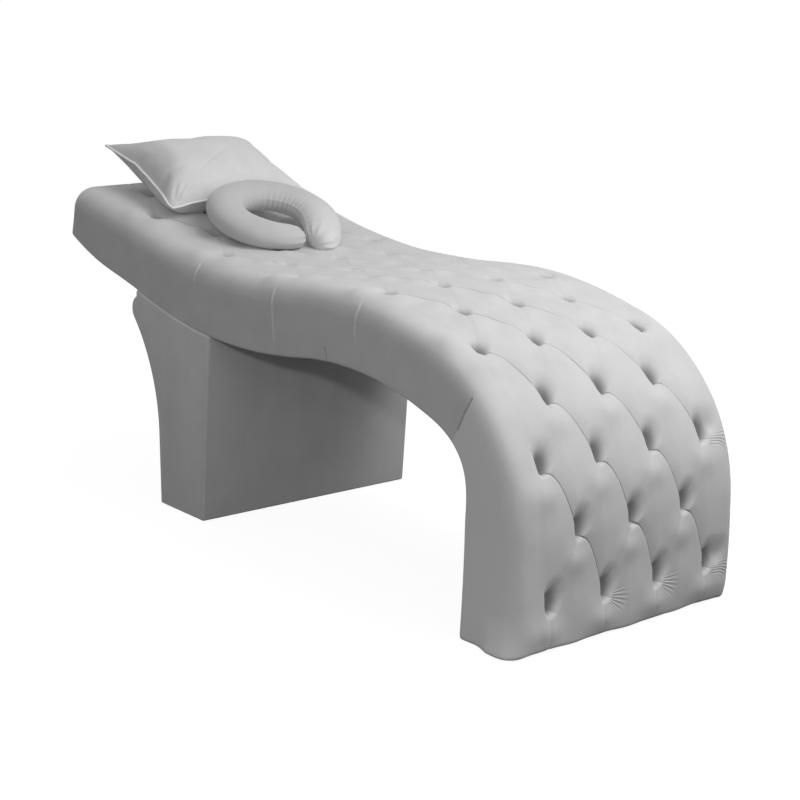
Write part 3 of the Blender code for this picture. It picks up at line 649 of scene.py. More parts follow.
def row_lines():
    """Distances along the bed of the grid's lines, with the buttons on them."""
    foot = [-HEM_DROP, FOOT_ROUND - HEM_DROP]
    head = [CREST_LENGTH - HEAD_ROUND, CREST_LENGTH]
    marks = np.concatenate([foot, ROWS, head])
    short = STEPS_PER_ROW * 3 // 4
    counts = [4, short] + [STEPS_PER_ROW] * LAST_ROW + [short // 2, 8]
    lines = [np.array([-HEM_DROP])]
    for start, end, count in zip(marks, marks[1:], counts):
        lines.append(start + (end - start) * np.arange(1, count + 1) / count)
    return np.concatenate(lines)


def column_zones():
    """Steps round half of the section: top and edge, side, lower corner, underside."""
    top = math.ceil(EDGE_END / (COLUMN_PITCH / STEPS_PER_ROW))
    return np.cumsum([0, top, SIDE_STEPS, CORNER_STEPS, UNDER_STEPS])


def round_section(s, steps):
    """Distance round the section after a number of grid steps from its middle."""
    zones = column_zones()
    side = body_thickness(s) - EDGE_RADIUS - CORNER_RADIUS
    sizes = [EDGE_END, side, CORNER_RADIUS * math.pi / 2, UNDER_HALF]
    total = np.zeros_like(s)
    for start, end, size in zip(zones, zones[1:], sizes):
        total = total + size * limited((steps - start) / (end - start))
    return total


def end_round(s, below):
    """How far the cover draws in where it rolls over the two ends, less so below the sides."""
    head = limited((s - CREST_LENGTH + HEAD_ROUND) / HEAD_ROUND)
    foot = limited(1.0 - (s + HEM_DROP) / FOOT_ROUND)
    drawn = HEAD_ROUND * quarter_drop(head) + FOOT_ROUND * quarter_drop(foot)
    return drawn * (1.0 + (UNDER_ROUND - 1.0) * below)


def cover_places(points, lines_s):
    """Distances along the bed and round its section of places on the cover's flat grid."""
    rows = len(lines_s) - 1
    steps = column_zones()[-1]
    s = np.interp((points[:, 1] + 0.5) * rows, np.arange(rows + 1), lines_s)
    from_middle = 2.0 * points[:, 0] * steps
    q = np.sign(from_middle) * round_section(s, np.abs(from_middle))
    return drawn_to_folds(s, q), q


def refine_details(bm, lines_s):
    """A finer grid where the cloth has fans of wrinkles or a seam."""
    middles = np.array([face.calc_center_median()[:2] for face in bm.faces])
    s, q = cover_places(middles, lines_s)
    fine = np.zeros(len(s), dtype=bool)
    for row, column in FANS:
        s0, q0 = lattice(row, column)
        fine |= (np.abs(s - s0) < FAN_END * 0.7) & (q > q0) & (q < q0 + FAN_END)
    for start, end in (SIDE_SEAM, SIDE_TUCK):
        share, beside = along_line(s, np.abs(q), start, end)
        fine |= (share > -0.1) & (share < 1.1) & (np.abs(beside) < 4.0 * SEAM_WIDTH)
    for row, reach in SIDE_PULLS.items():
        beside = np.abs(s - ROWS[row])
        fine |= (beside < 4.5 * PULL_WIDTH) & (np.abs(q) > FLAT_HALF) & (np.abs(q) < EDGE_END + reach)
    edges = {edge for face, chosen in zip(bm.faces, fine) if chosen for edge in face.edges}
    bmesh.ops.subdivide_edges(bm, edges=list(edges), cuts=FAN_CUTS, use_grid_fill=True)


def drawn_in(s, q, on_top):
    """How far the cover lies inside the smooth body at its hem, its far edge and both ends."""
    off_side = 1.0 - smooth_step(EDGE_END, EDGE_END + EDGE_RADIUS, np.abs(q))
    far = HEM_TUCK + (HEM_TUCK_FAR - HEM_TUCK) * smooth_step(0.0, FLAT_HALF, q)
    tuck = far * limited(1.0 - s / HEM_TUCK_REACH) ** 2 * off_side
    rolled_under = smooth_step(-FLAT_HALF, -COLUMN_PITCH, q) * off_side
    tuck = tuck + HEM_ROLL * limited(1.0 - s / HEM_ROLL_HEIGHT) ** 2 * rolled_under
    round_side = EDGE_END + body_thickness(np.clip(s, 0.0, CREST_LENGTH)) - EDGE_RADIUS
    near = smooth_step(FLAT_HALF, EDGE_END, -q) * (1.0 - smooth_step(0.0, UNDER_FADE, -q - round_side))
    tuck = tuck - HEM_FLARE * limited(1.0 - s / HEM_FLARE_REACH) ** 1.5 * near
    at_corner = bell((q + EDGE_END) / CORNER_KICK_WIDTH)
    tuck = tuck - CORNER_KICK * limited(1.0 - s / CORNER_KICK_HEIGHT) ** 1.5 * at_corner
    sag = FAR_SAG * np.interp(s, FAR_SAG_MARKS, FAR_SAG_SHARES)
    tuck = tuck + sag * smooth_step(0.0, FLAT_HALF, q) * on_top
    below = smooth_step(EDGE_END, round_side - CORNER_RADIUS, np.abs(q))
    return tuck + end_round(s, below)


def make_bed_cover(material):
    """Tufted velvet all round the body: top, edges, sides, both ends and underside."""
    lines_s = row_lines()
    bm = unit_grid(2 * column_zones()[-1], len(lines_s) - 1)
    refine_details(bm, lines_s)
    s, q = cover_places(np.array([vert.co[:2] for vert in bm.verts]), lines_s)
    tufts = tufted_surface(s, q)
    on_top = 1.0 - smooth_step(FLAT_HALF, EDGE_END, np.abs(q))
    wave = HEM_WAVE * (0.5 - 0.5 * np.cos(np.pi * q / COLUMN_PITCH)) * on_top
    hem = wave * (1.0 - smooth_step(0.0, FIRST_ROW, s))
    points = body_place(s + tufts.shift_s + hem, q + tufts.shift_q, -tufts.depth - drawn_in(s, q, on_top))
    set_points(bm, points)
    # Painted shade: darker deep in the dimples and along the folds and seams
    mark_verts(bm, "painted_shade", np.maximum(smooth_step(PAINTED_SHADE_START, PAINTED_SHADE_DEPTH, tufts.depth), tufts.crease))
    mark_verts(bm, "brushed_pile_and_painted_highlight", tufts.brushed_pile_and_painted_highlight)
    bmesh.ops.triangulate(bm, faces=bm.faces[:], quad_method="ALTERNATE")
    close_tube(bm)
    return new_piece("bed_cover", bm, material)


# Buttons

BUTTON_CROWN = 0.005
# Buttons that sit shallower than the rest
BUTTON_LIFTS = {(2, -3): 0.014}


def make_buttons(material):
    """A covered button at the bottom of every dimple."""
    bm = bmesh.new()
    for row, column in BUTTONS:
        s, q = lattice(row, column)
        x, z, nx, nz = crest_point(np.array(s))
        out = Vector((float(nx), 0.0, float(nz)))
        depth = DIMPLE_DEPTH - BUTTON_CROWN / 4 - BUTTON_LIFTS.get((row, column), 0.0)
        seat = Vector((float(x), q, float(z))) - out * depth
        made = bmesh.ops.create_uvsphere(bm, u_segments=14, v_segments=8, radius=BUTTON_RADIUS)
        bmesh.ops.scale(bm, verts=made["verts"], vec=(1.0, 1.0, BUTTON_CROWN / BUTTON_RADIUS))
        turn = Vector((0.0, 0.0, 1.0)).rotation_difference(out).to_matrix()
        bmesh.ops.rotate(bm, verts=made["verts"], matrix=turn)
        bmesh.ops.translate(bm, verts=made["verts"], vec=seat)
    return new_piece("tuft_buttons", bm, material)


# Pedestal cover

# Distance of its foot side from the bed's foot, its size at the floor and the lean of the foot side
BASE_REACH = 1.179
BASE_DEPTH = 0.205
BASE_WIDTH = 0.626
BASE_LEAN = 0.10
# The head side stands plumb, then flares out and rounds over a nose under the body
BASE_PLUMB = 0.183
FLARE_RADIUS = 0.42
FLARE_TURN = 42.0
NOSE_RADIUS = 0.036
NOSE_TURN = 112.0
FLARE_STEPS = 24
NOSE_STEPS = 14
BASE_EDGE = 0.006
BASE_DROP = 0.0025
BASE_BURIED = 0.001
BASE_TOP_STEPS = 12


def buried(x):
    """A height inside the body over a place on the floor."""
    heights = TABLE_Z - body_thickness(TABLE_S) * np.sin(np.interp(TABLE_S, MARKS, TURNS))
    under_x = TABLE_X - body_thickness(TABLE_S) * np.cos(np.interp(TABLE_S, MARKS, TURNS))
    return float(np.interp(-x, -under_x, heights)) + BASE_BURIED


def base_outline():
    """Outline of the pedestal in the XZ plane: foot side, top inside the body, nose, flare."""
    foot = GLIDE_HEIGHT - BASE_DROP
    front = FOOT_X - BASE_REACH
    back = front - BASE_DEPTH
    turn = math.radians(FLARE_TURN)
    plumb = GLIDE_HEIGHT + BASE_PLUMB
    line = [(back, foot)]
    for k in range(FLARE_STEPS + 1):
        angle = turn * k / FLARE_STEPS
        x = back - FLARE_RADIUS + FLARE_RADIUS * math.cos(angle)
        line.append((x, plumb + FLARE_RADIUS * math.sin(angle)))
    nose_x = line[-1][0] + NOSE_RADIUS * math.cos(turn)
    nose_z = line[-1][1] + NOSE_RADIUS * math.sin(turn)
    for k in range(1, NOSE_STEPS + 1):
        angle = turn + math.pi - math.radians(NOSE_TURN) * k / NOSE_STEPS
        line.append((nose_x + NOSE_RADIUS * math.cos(angle), nose_z + NOSE_RADIUS * math.sin(angle)))
    last = line[-1][0]
    lean = BASE_LEAN * (buried(front) - foot)
    for k in range(BASE_TOP_STEPS + 1):
        x = last + (front + lean - last) * k / BASE_TOP_STEPS
        line.append((x, buried(x)))
    line.append((front, foot))
    return line


def make_base_cover(material):
    """Velvet cover of the pedestal, with soft upright edges, running up into the body."""
    bm = bmesh.new()
    half = BASE_WIDTH / 2
    face = bm.faces.new([bm.verts.new((x, -half, z)) for x, z in base_outline()])
    grown = bmesh.ops.extrude_face_region(bm, geom=[face])
    bmesh.ops.translate(bm, verts=of_kind(grown, bmesh.types.BMVert), vec=(0.0, BASE_WIDTH, 0.0))
    bmesh.ops.recalc_face_normals(bm, faces=bm.faces[:])
    sharp = [edge for edge in bm.edges if edge.calc_face_angle() > math.radians(40)]
    bmesh.ops.bevel(
        bm, geom=sharp, offset=BASE_EDGE, offset_type="OFFSET", segments=4, profile=0.5,
        affect="EDGES", material=-1,
    )
    piece = new_piece("pedestal_cover", bm, material)
    piece.data.set_sharp_from_angle(angle=math.radians(30))
    return piece


# Pillow

# Its size, the rise of its top and the fall of its belly, and how it lies on the head of the bed
PILLOW_LENGTH = 0.33
PILLOW_WIDTH = 0.43
PILLOW_CROWN = 0.074
PILLOW_BELLY = 0.110
PILLOW_TILT = 10.0
PILLOW_HEAD_MARGIN = 0.006
PILLOW_CELLS = (36, 44)
# Powers of the dome: lower ones are fuller towards the rim
PILLOW_FULLNESS = 0.36
PILLOW_FAR_FULLNESS = 0.55
PILLOW_BELLY_FULLNESS = 0.50
# Shares by which the blown-up bag is drawn to that dome and to a waisted outline
PILLOW_ROUNDNESS = 0.60
PILLOW_SQUARENESS = 0.75
PILLOW_WAIST = 0.020
# How far the near corner at the head is drawn out and up, and where that begins
PILLOW_EAR = (0.012, 0.008, 0.004)
EAR_START = 0.7
# How far the other two seen corners are drawn in and down
PILLOW_DROOP = (0.007, 0.007, 0.011)
DROOP_START = 0.55
# Rounding of the near corner at the foot
PILLOW_CORNER = 0.20
# Folds in that corner: angles and width in degrees; the crease runs over the top from there
CORNER_FOLDS = (28.0, 45.0, 63.0)
CORNER_FOLD_DEPTH = 0.009
CORNER_FOLD_WIDTH = 5.0
CORNER_FOLD_START = (0.06, 0.18)
CORNER_FOLD_END = (0.22, 0.5)
PILLOW_CREASE = ((0.67, -0.62), (-0.10, 0.30))
PILLOW_CREASE_DEPTH = 0.005
PILLOW_CREASE_WIDTH = 0.05
# Painted shade on the near side of the top: how much, and the border in shares of the width
PILLOW_SHADE = 0.36
SHADE_BORDER = -0.57
SHADE_SLANT = 0.40
PILLOW_SLACK = 0.006
PILLOW_PRESSURE = 6.0
PILLOW_FRAMES = 30
PILLOW_CLOTH = {
    "quality": 8, "mass": 0.2, "tension_stiffness": 25.0, "compression_stiffness": 25.0,
    "shear_stiffness": 10.0, "bending_stiffness": 0.2, "air_damping": 4.0,
}
PILLOW_SMOOTHING = 0.5
PIPING_RADIUS = 0.003
BED_CLEARANCE = 0.001


def tilted_axes(s, tilt):
    """Direction towards the foot and upward normal of a piece tipped up towards the head."""
    x, z, nx, nz = crest_point(np.array(s))
    lean = math.atan2(float(nx), float(nz)) + math.radians(tilt)
    return Vector((math.cos(lean), 0.0, -math.sin(lean))), Vector((math.sin(lean), 0.0, math.cos(lean)))


def flat_bag(length, width, cells):
    """Two sheets sewn together along their rims, a little apart in the middle."""
    bm = unit_grid(*cells)
    upper = bm.verts[:]
    made = bmesh.ops.duplicate(bm, geom=bm.verts[:] + bm.edges[:] + bm.faces[:])
    lower = of_kind(made, bmesh.types.BMVert)
    bmesh.ops.reverse_faces(bm, faces=of_kind(made, bmesh.types.BMFace))
    for sheet, side in ((upper, 1.0), (lower, -1.0)):
        for vert in sheet:
            u = 2.0 * vert.co.x
            v = 2.0 * vert.co.y
            rise = side * PILLOW_SLACK * (1.0 - u ** 4) * (1.0 - v ** 4)
            vert.co = (u * length / 2, v * width / 2, rise)
    bmesh.ops.remove_doubles(bm, verts=bm.verts[:], dist=0.00001)
    bmesh.ops.recalc_face_normals(bm, faces=bm.faces[:])
    return bm


def puffed(bm, pressure, frames):
    """The points of a sewn bag after cloth has been blown up by pressure."""
    mesh = bpy.data.meshes.new("bag")
    bm.to_mesh(mesh)
    bag = new_object("bag", mesh)
    scene = bpy.context.scene
    cloth = bag.modifiers.new("Cloth", "CLOTH")
    for name, value in PILLOW_CLOTH.items():
        setattr(cloth.settings, name, value)
    cloth.settings.use_pressure = True
    cloth.settings.uniform_pressure_force = pressure
    cloth.settings.effector_weights.gravity = 0.0
    cloth.point_cache.frame_start = 1
    cloth.point_cache.frame_end = frames
    for number in range(1, frames + 1):
        scene.frame_set(number)
    shaped = bag.evaluated_get(bpy.context.evaluated_depsgraph_get())
    points = np.array([vert.co[:] for vert in shaped.data.vertices])
    scene.frame_set(1)
    bpy.data.objects.remove(bag, do_unlink=True)
    return points


def shape_pillow(points, flat):
    """Fill the blown-up bag to a round dome, draw out one ear and lay the folds of the near corner."""
    u = flat[:, 0]
    v = flat[:, 1]
    towards_foot = limited((u - 1.0) / PILLOW_CORNER + 1.0)
    towards_side = limited((-v - 1.0) / PILLOW_CORNER + 1.0)
    reach = np.maximum(np.hypot(towards_foot, towards_side), 0.00001)
    drawn = PILLOW_CORNER * (1.0 - np.maximum(towards_foot, towards_side) / reach)
    rim_x = (u - towards_foot * drawn) * (PILLOW_LENGTH / 2 - PILLOW_WAIST * (1.0 - v * v))
    rim_y = (v + towards_side * drawn) * (PILLOW_WIDTH / 2 - PILLOW_WAIST * (1.0 - u * u))
    points[:, 0] += PILLOW_SQUARENESS * (rim_x - points[:, 0])
    points[:, 1] += PILLOW_SQUARENESS * (rim_y - points[:, 1])
    top = np.where(flat[:, 2] > 0.0, PILLOW_CROWN, -PILLOW_BELLY)
    upper = flat[:, 2] > 0.0
    along = np.where(upper, PILLOW_FULLNESS, PILLOW_BELLY_FULLNESS)
    across = np.where(upper & (v > 0.0), PILLOW_FAR_FULLNESS, along)
    dome = np.maximum(1.0 - u * u, 0.0) ** along * np.maximum(1.0 - v * v, 0.0) ** across
    inner = PILLOW_ROUNDNESS * (1.0 - np.maximum(np.abs(u), np.abs(v)) ** 8)
    points[:, 2] += inner * (top * dome - points[:, 2])
    ear = smooth_step(EAR_START, 1.0, -u) * smooth_step(EAR_START, 1.0, -v)
    for axis, (way, size) in enumerate(zip((-1.0, -1.0, 1.0), PILLOW_EAR)):
        points[:, axis] += way * size * ear
    for corner_u, corner_v in ((1.0, -1.0), (-1.0, 1.0)):
        droop = smooth_step(DROOP_START, 1.0, corner_u * u) * smooth_step(DROOP_START, 1.0, corner_v * v)
        for axis, (way, size) in enumerate(zip((-corner_u, -corner_v, -1.0), PILLOW_DROOP)):
            points[:, axis] += way * size * droop
    away = np.hypot(1.0 - u, 1.0 + v)
    angle = np.degrees(np.arctan2(1.0 + v, 1.0 - u))
    length = smooth_step(*CORNER_FOLD_START, away) * (1.0 - smooth_step(*CORNER_FOLD_END, away))
    folds = sum(bell((angle - place) / CORNER_FOLD_WIDTH) for place in CORNER_FOLDS)
    share, beside = along_line(u, v, *PILLOW_CREASE)
    crease = limited(1.0 - np.abs(2.0 * share - 1.0)) ** 0.5 * rolled(beside, PILLOW_CREASE_WIDTH)
    sunk = CORNER_FOLD_DEPTH * length * folds + PILLOW_CREASE_DEPTH * crease
    points[:, 2] -= np.where(flat[:, 2] > 0.0, sunk, 0.0)


def painted_pillow_shade(flat):
    """How much painted shade darkens the near side of the pillow's top."""
    border = SHADE_BORDER - SHADE_SLANT * smooth_step(-0.2, 1.0, flat[:, 0])
    near = 1.0 - smooth_step(border - 0.12, border + 0.08, flat[:, 1])
    return np.where(flat[:, 2] > 0.0, PILLOW_SHADE * near, 0.0)


def make_pillow(material):
    """Filled pillow: a sewn bag blown up as cloth, then laid on the bed and the bed's own slope."""
    bm = flat_bag(PILLOW_LENGTH, PILLOW_WIDTH, PILLOW_CELLS)
    layers = [bm.verts.layers.float.new(name) for name in ("flat_x", "flat_y", "flat_z")]
    for vert in bm.verts:
        for layer, value in zip(layers, vert.co):
            vert[layer] = value
    rise = np.array([vert.co.z for vert in bm.verts])
    blown = puffed(bm, PILLOW_PRESSURE, PILLOW_FRAMES)
    blown[:, 2] *= np.sign((blown[:, 2] * rise).sum())
    set_points(bm, blown)
    bmesh.ops.subdivide_edges(bm, edges=bm.edges[:], cuts=1, use_grid_fill=True)
    all_axes = {"use_axis_x": True, "use_axis_y": True, "use_axis_z": True}
    bmesh.ops.smooth_vert(bm, verts=bm.verts[:], factor=PILLOW_SMOOTHING, **all_axes)
    points = np.array([vert.co[:] for vert in bm.verts])
    flat = np.array([[vert[layer] for layer in layers] for vert in bm.verts])
    rim = seam_order(flat)
    size = points.max(axis=0) - points.min(axis=0)
    points[:, 0] *= PILLOW_LENGTH / size[0]
    points[:, 1] *= PILLOW_WIDTH / size[1]
    rise = points[:, 2]
    points[:, 2] *= np.where(rise > 0.0, PILLOW_CROWN / rise.max(), -PILLOW_BELLY / rise.min())
    unit = 2.0 * flat / (PILLOW_LENGTH, PILLOW_WIDTH, 1.0)
    shape_pillow(points, unit)
    # Painted shade on the near side of the top
    mark_verts(bm, "painted_shade", painted_pillow_shade(unit))
    s = CREST_LENGTH - PILLOW_HEAD_MARGIN - PILLOW_LENGTH / 2
    along, normal = tilted_axes(s, PILLOW_TILT)
    lowest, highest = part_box("pillow_piping")
    middle = (Vector(lowest) + Vector(highest)) / 2
    axes = np.array([along, (0.0, 1.0, 0.0), normal])
    world = np.array(middle) + points @ axes
    x, z, nx, nz = crest_point(np.array(CREST_LENGTH))
    up = np.array([float(nx), 0.0, float(nz)])
    bed = np.array([float(x), 0.0, float(z)])
    sunk = np.minimum((world - bed) @ up - BED_CLEARANCE, 0.0)
    world = world - sunk[:, None] * up
    set_points(bm, world)
    bmesh.ops.recalc_face_normals(bm, faces=bm.faces[:])
    return new_piece("pillow_velvet", bm, material), cord_line(world[rim])


def seam_order(flat):
    """Points along the sewn rim of a flat bag, in order round it."""
    u = 2.0 * flat[:, 0] / PILLOW_LENGTH
    v = 2.0 * flat[:, 1] / PILLOW_WIDTH
    rim = np.flatnonzero(np.maximum(np.abs(u), np.abs(v)) > 0.999)
    return rim[np.argsort(np.arctan2(v[rim], u[rim]))]


def cord_line(points):
    """A line just outside the pillow's seam."""
    outward = points - points.mean(axis=0)
    outward = outward / np.linalg.norm(outward, axis=1)[:, None]
    return points + outward * PIPING_RADIUS * 0.7


def make_piping(points, material):
    """Corded piping round the pillow's seam."""
    data = bpy.data.curves.new("pillow_cord", "CURVE")
    data.dimensions = "3D"
    spline = data.splines.new("NURBS")
    spline.points.add(len(points) - 1)
    for knot, point in zip(spline.points, points):
        knot.co = (*point, 1.0)
    spline.use_cyclic_u = True
    spline.order_u = 4
    spline.resolution_u = 3
    data.bevel_depth = PIPING_RADIUS
    data.bevel_resolution = 3
    data.materials.append(material)
    return new_object("pillow_cord", data)


# Neck pillow

NECK_LENGTH = 0.342
NECK_WIDTH = 0.342
NECK_TUBE = 0.050
NECK_HEIGHT = 0.072
NECK_MOUTH = 3.0
NECK_TURN = 8.0
NECK_TILT = 10.0
NECK_RINGS = 180
NECK_SIDES = 96
# The near end is thinner and the far end reaches further towards the foot
NECK_TAPER = 0.20
NECK_FAR_REACH = 0.044
NECK_NEAR_REACH = -0.002
NECK_SETBACK = 0.010
# Reach of the two ends' forms, in thicknesses of the tube
NECK_NEAR_FADE = 2.0
NECK_FAR_FADE = 1.4
NECK_END = 0.9
NECK_BLUNTNESS = 2.6
GATHER_REACH = 0.8
GATHER_COUNT = 11
GATHER_DEPTH = 0.10
# The seam round the inside, and the far arm's painted highlight, by shares of the way round
NECK_SEAM = 0.030
NECK_SEAM_TURN = 0.3
NECK_SEAM_WIDTH = 0.07
NECK_SEAM_END = (0.40, 0.48)
NECK_PAINTED_HIGHLIGHT = (0.10, 0.35)
INNER_WRINKLES = 34
INNER_WRINKLE_DEPTH = 0.060


def make_neck_pillow(material):
    """A fat open ring whose two ends are gathered, with small wrinkles round its inside."""
    bm = unit_grid(NECK_SIDES, NECK_RINGS)
    column, row = grid_places(bm, NECK_SIDES, NECK_RINGS)
    turn = 2.0 * np.pi * column / NECK_SIDES
    share = row / NECK_RINGS
    half_mouth = math.radians(NECK_MOUTH / 2)
    angle = math.radians(NECK_TURN) + half_mouth + 2.0 * (np.pi - half_mouth) * share
    reach = NECK_LENGTH / 2 - NECK_TUBE
    spread = NECK_WIDTH / 2 - NECK_TUBE
    from_end = np.minimum(share, 1.0 - share) * 2.0 * np.pi * reach / NECK_TUBE
    closed = limited(1.0 - from_end / NECK_END)
    radius = NECK_TUBE * np.sqrt(np.maximum(1.0 - closed ** NECK_BLUNTNESS, 0.0))
    gather = GATHER_DEPTH * bell(from_end / GATHER_REACH) * np.abs(np.sin(GATHER_COUNT * turn / 2.0))
    inward = limited(-np.cos(turn)) ** 2
    ripple = np.abs(np.sin(INNER_WRINKLES * angle / 2.0 + np.sin(3.0 * angle)))
    radius = radius * (1.0 - gather - INNER_WRINKLE_DEPTH * inward * ripple)
    from_far = share * 2.0 * np.pi * reach / NECK_TUBE
    from_near = (1.0 - share) * 2.0 * np.pi * reach / NECK_TUBE
    near_end = bell(from_near / NECK_NEAR_FADE)
    radius = radius * (1.0 - NECK_TAPER * near_end)
    seam = bell((turn - np.pi + NECK_SEAM_TURN) / NECK_SEAM_WIDTH)
    seam = seam * (1.0 - smooth_step(*NECK_SEAM_END, share))
    radius = radius * (1.0 + NECK_SEAM * seam)
    out_x = np.cos(angle) * spread
    out_y = np.sin(angle) * reach
    size = np.hypot(out_x, out_y)
    along_by = reach * np.cos(angle) + radius * np.cos(turn) * out_x / size
    drawn = NECK_FAR_REACH * bell(from_far / NECK_FAR_FADE) + NECK_NEAR_REACH * near_end
    across_by = spread * np.sin(angle) + radius * np.cos(turn) * out_y / size
    lowest, highest = (np.array(corner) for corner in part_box("neck_pillow"))
    middle = (lowest + highest) / 2
    s = float(np.interp(-middle[0], -TABLE_X, TABLE_S))
    along, normal = tilted_axes(s, NECK_TILT)
    axes = np.array([along, (0.0, 1.0, 0.0), normal])
    rise = radius * np.sin(turn) * NECK_HEIGHT / (2.0 * NECK_TUBE)
    local = np.stack([along_by, across_by, rise], axis=-1)
    world = local @ axes
    centre = (world.max(axis=0) + world.min(axis=0)) / 2
    set_points(bm, world + middle - centre + (drawn - NECK_SETBACK)[:, None] * axes[0])
    # Painted highlight on the far arm, where the light falls more strongly
    mark_verts(bm, "brushed_pile_and_painted_highlight", 1.0 - smooth_step(*NECK_PAINTED_HIGHLIGHT, share))
    close_tube(bm)
    return new_piece("neck_pillow_velvet", bm, material)


# Materials


def new_material(name):
    material = bpy.data.materials.new(name)
    material.use_nodes = True
    tree = material.node_tree
    return material, tree, tree.nodes["Principled BSDF"]


def feed(tree, node, inputs):
    """Link sockets to a node's inputs, and set plain values on the others."""
    for name, value in inputs.items():
        if isinstance(value, bpy.types.NodeSocket):
            tree.links.new(value, node.inputs[name])
        else:
            node.inputs[name].default_value = value


def add_node(tree, kind, inputs, **settings):
    node = tree.nodes.new(kind)
    for name, value in settings.items():
        setattr(node, name, value)
    feed(tree, node, inputs)
    return node


def computed(tree, operation, first, second):
    return add_node(tree, "ShaderNodeMath", {0: first, 1: second}, operation=operation).outputs[0]


def blend(tree, amount, low, high, kind="FLOAT"):
    """A mix of two values or colours by an amount."""
    inputs = {"Factor": amount, "A": low, "B": high}
    return add_node(tree, "ShaderNodeMix", inputs, data_type=kind).outputs["Result"]


def noise_at(tree, place, scale, detail):
    """Noise of a size, read at a place on the piece."""
    inputs = {"Scale": scale, "Detail": detail, "Vector": place}
    return add_node(tree, "ShaderNodeTexNoise", inputs).outputs["Fac"]


def object_place(tree):
    return add_node(tree, "ShaderNodeTexCoord", {}).outputs["Object"]


def attribute_value(tree, name):
    return add_node(tree, "ShaderNodeAttribute", {}, attribute_name=name).outputs["Fac"]


def shade_ramp(tree, amount, low, high):
    """A colour between two, each given with its place on the ramp."""
    node = add_node(tree, "ShaderNodeValToRGB", {"Fac": amount})
    for element, (position, colour) in zip(node.color_ramp.elements, (low, high)):
        element.position = position
        element.color = colour
    return node.outputs["Color"]


def add_bump(tree, shader, height, strength, distance):
    inputs = {"Height": height, "Strength": strength, "Distance": distance}
    bump = add_node(tree, "ShaderNodeBump", inputs)
    tree.links.new(bump.outputs["Normal"], shader.inputs["Normal"])


def grey_colour(grey, blue=1.0):
    return (grey, grey, grey * blue, 1.0)


def new_group(name, inputs, outputs):
    """A shader node group with named sockets, with its two ends."""
    group = bpy.data.node_groups.new(name, "ShaderNodeTree")
    for label, kind, value in inputs:
        socket = group.interface.new_socket(name=label, in_out="INPUT", socket_type=kind)
        if value is not None:
            socket.default_value = value
    for label, kind in outputs:
        group.interface.new_socket(name=label, in_out="OUTPUT", socket_type=kind)
    return group, group.nodes.new("NodeGroupInput"), group.nodes.new("NodeGroupOutput")


FLOAT = "NodeSocketFloat"
VECTOR = "NodeSocketVector"
NAP_PATCH = 14.0
NAP_STREAK = (17.0, 17.0, 2.0)
PILE_GRAIN = 900.0
PILE_RELIEF = 0.0008
# Darkest and lightest velvet as shares of its grey, with a breath of blue; the grey of painted shade, and how
# much lighter pile that lies another way and painted highlights are
VELVET_SHADES = (0.86, 1.12)
VELVET_BLUE = 1.004
VELVET_ROUGHNESS = (0.70, 0.92)
PAINTED_SHADE_GREY = 0.29
PILE_AND_HIGHLIGHT_LIGHTER = 1.22


def pile_group():
    """Velvet pile: large patches of nap, upright streaks and the fine grain of the fibres."""
    group, start, end = new_group(
        "velvet_pile",
        [("Place", VECTOR, None), ("Patches", FLOAT, 0.5), ("Streaks", FLOAT, 0.2)],
        [("Shade", FLOAT), ("Grain", FLOAT)],
    )
    place = start.outputs["Place"]
    patches = noise_at(group, place, NAP_PATCH, 3.0)
    stretch = add_node(group, "ShaderNodeMapping", {"Vector": place, "Scale": NAP_STREAK})
    streaks = noise_at(group, stretch.outputs["Vector"], 1.0, 2.0)
    even = 0.5
    patch_part = blend(group, start.outputs["Patches"], even, patches)
    streak_part = blend(group, start.outputs["Streaks"], even, streaks)
    both = computed(group, "SUBTRACT", computed(group, "ADD", patch_part, streak_part), even)
    feed(group, end, {"Shade": both, "Grain": noise_at(group, place, PILE_GRAIN, 1.0)})
    return group


def velvet_material(name, group, grey, patches, streaks):
    """Silver velvet: lighter where its pile lies another way and where a highlight is painted, darker where
    shade is painted, with a soft sheen at grazing angles.
    """
    material, tree, shader = new_material(name)
    inputs = {"Place": object_place(tree), "Patches": patches, "Streaks": streaks}
    pile = add_node(tree, "ShaderNodeGroup", inputs, node_tree=group)
    low, high = (grey_colour(grey * share, VELVET_BLUE) for share in VELVET_SHADES)
    shades = shade_ramp(tree, pile.outputs["Shade"], (0.25, low), (0.75, high))
    pale = grey_colour(grey * PILE_AND_HIGHLIGHT_LIGHTER, VELVET_BLUE)
    # Lighter where the pile of the leg's side panels lies another way, and on the neck pillow's painted
    # highlight
    lifted = blend(tree, attribute_value(tree, "brushed_pile_and_painted_highlight"), shades, pale, "RGBA")
    # Painted shade read from the mesh: dimples, folds, seams and the near side of the pillow
    with_painted_shade = blend(tree, attribute_value(tree, "painted_shade"), lifted, grey_colour(PAINTED_SHADE_GREY), "RGBA")
    grain = pile.outputs["Grain"]
    smoothest, roughest = VELVET_ROUGHNESS
    inputs = {"Value": grain, "To Min": smoothest, "To Max": roughest}
    rough = add_node(tree, "ShaderNodeMapRange", inputs)
    feed(tree, shader, {
        "Base Color": with_painted_shade, "Roughness": rough.outputs["Result"], "Specular IOR Level": 0.15,
        "Sheen Weight": 0.30, "Sheen Roughness": 0.45,
    })
    add_bump(tree, shader, grain, 0.12, PILE_RELIEF)
    return material


def grain_group():
    """Grain along the bed's own axes: long fibres with slow bends."""
    group, start, end = new_group(
        "fibre_grain",
        [("Place", VECTOR, None), ("Along", VECTOR, (4.0, 40.0, 40.0))],
        [("Shade", FLOAT)],
    )
    inputs = {"Vector": start.outputs["Place"], "Scale": start.outputs["Along"]}
    place = add_node(group, "ShaderNodeMapping", inputs).outputs["Vector"]
    coarse = noise_at(group, place, 1.0, 4.0)
    fine = noise_at(group, place, 6.0, 3.0)
    feed(group, end, {"Shade": blend(group, 0.35, coarse, fine)})
    return group


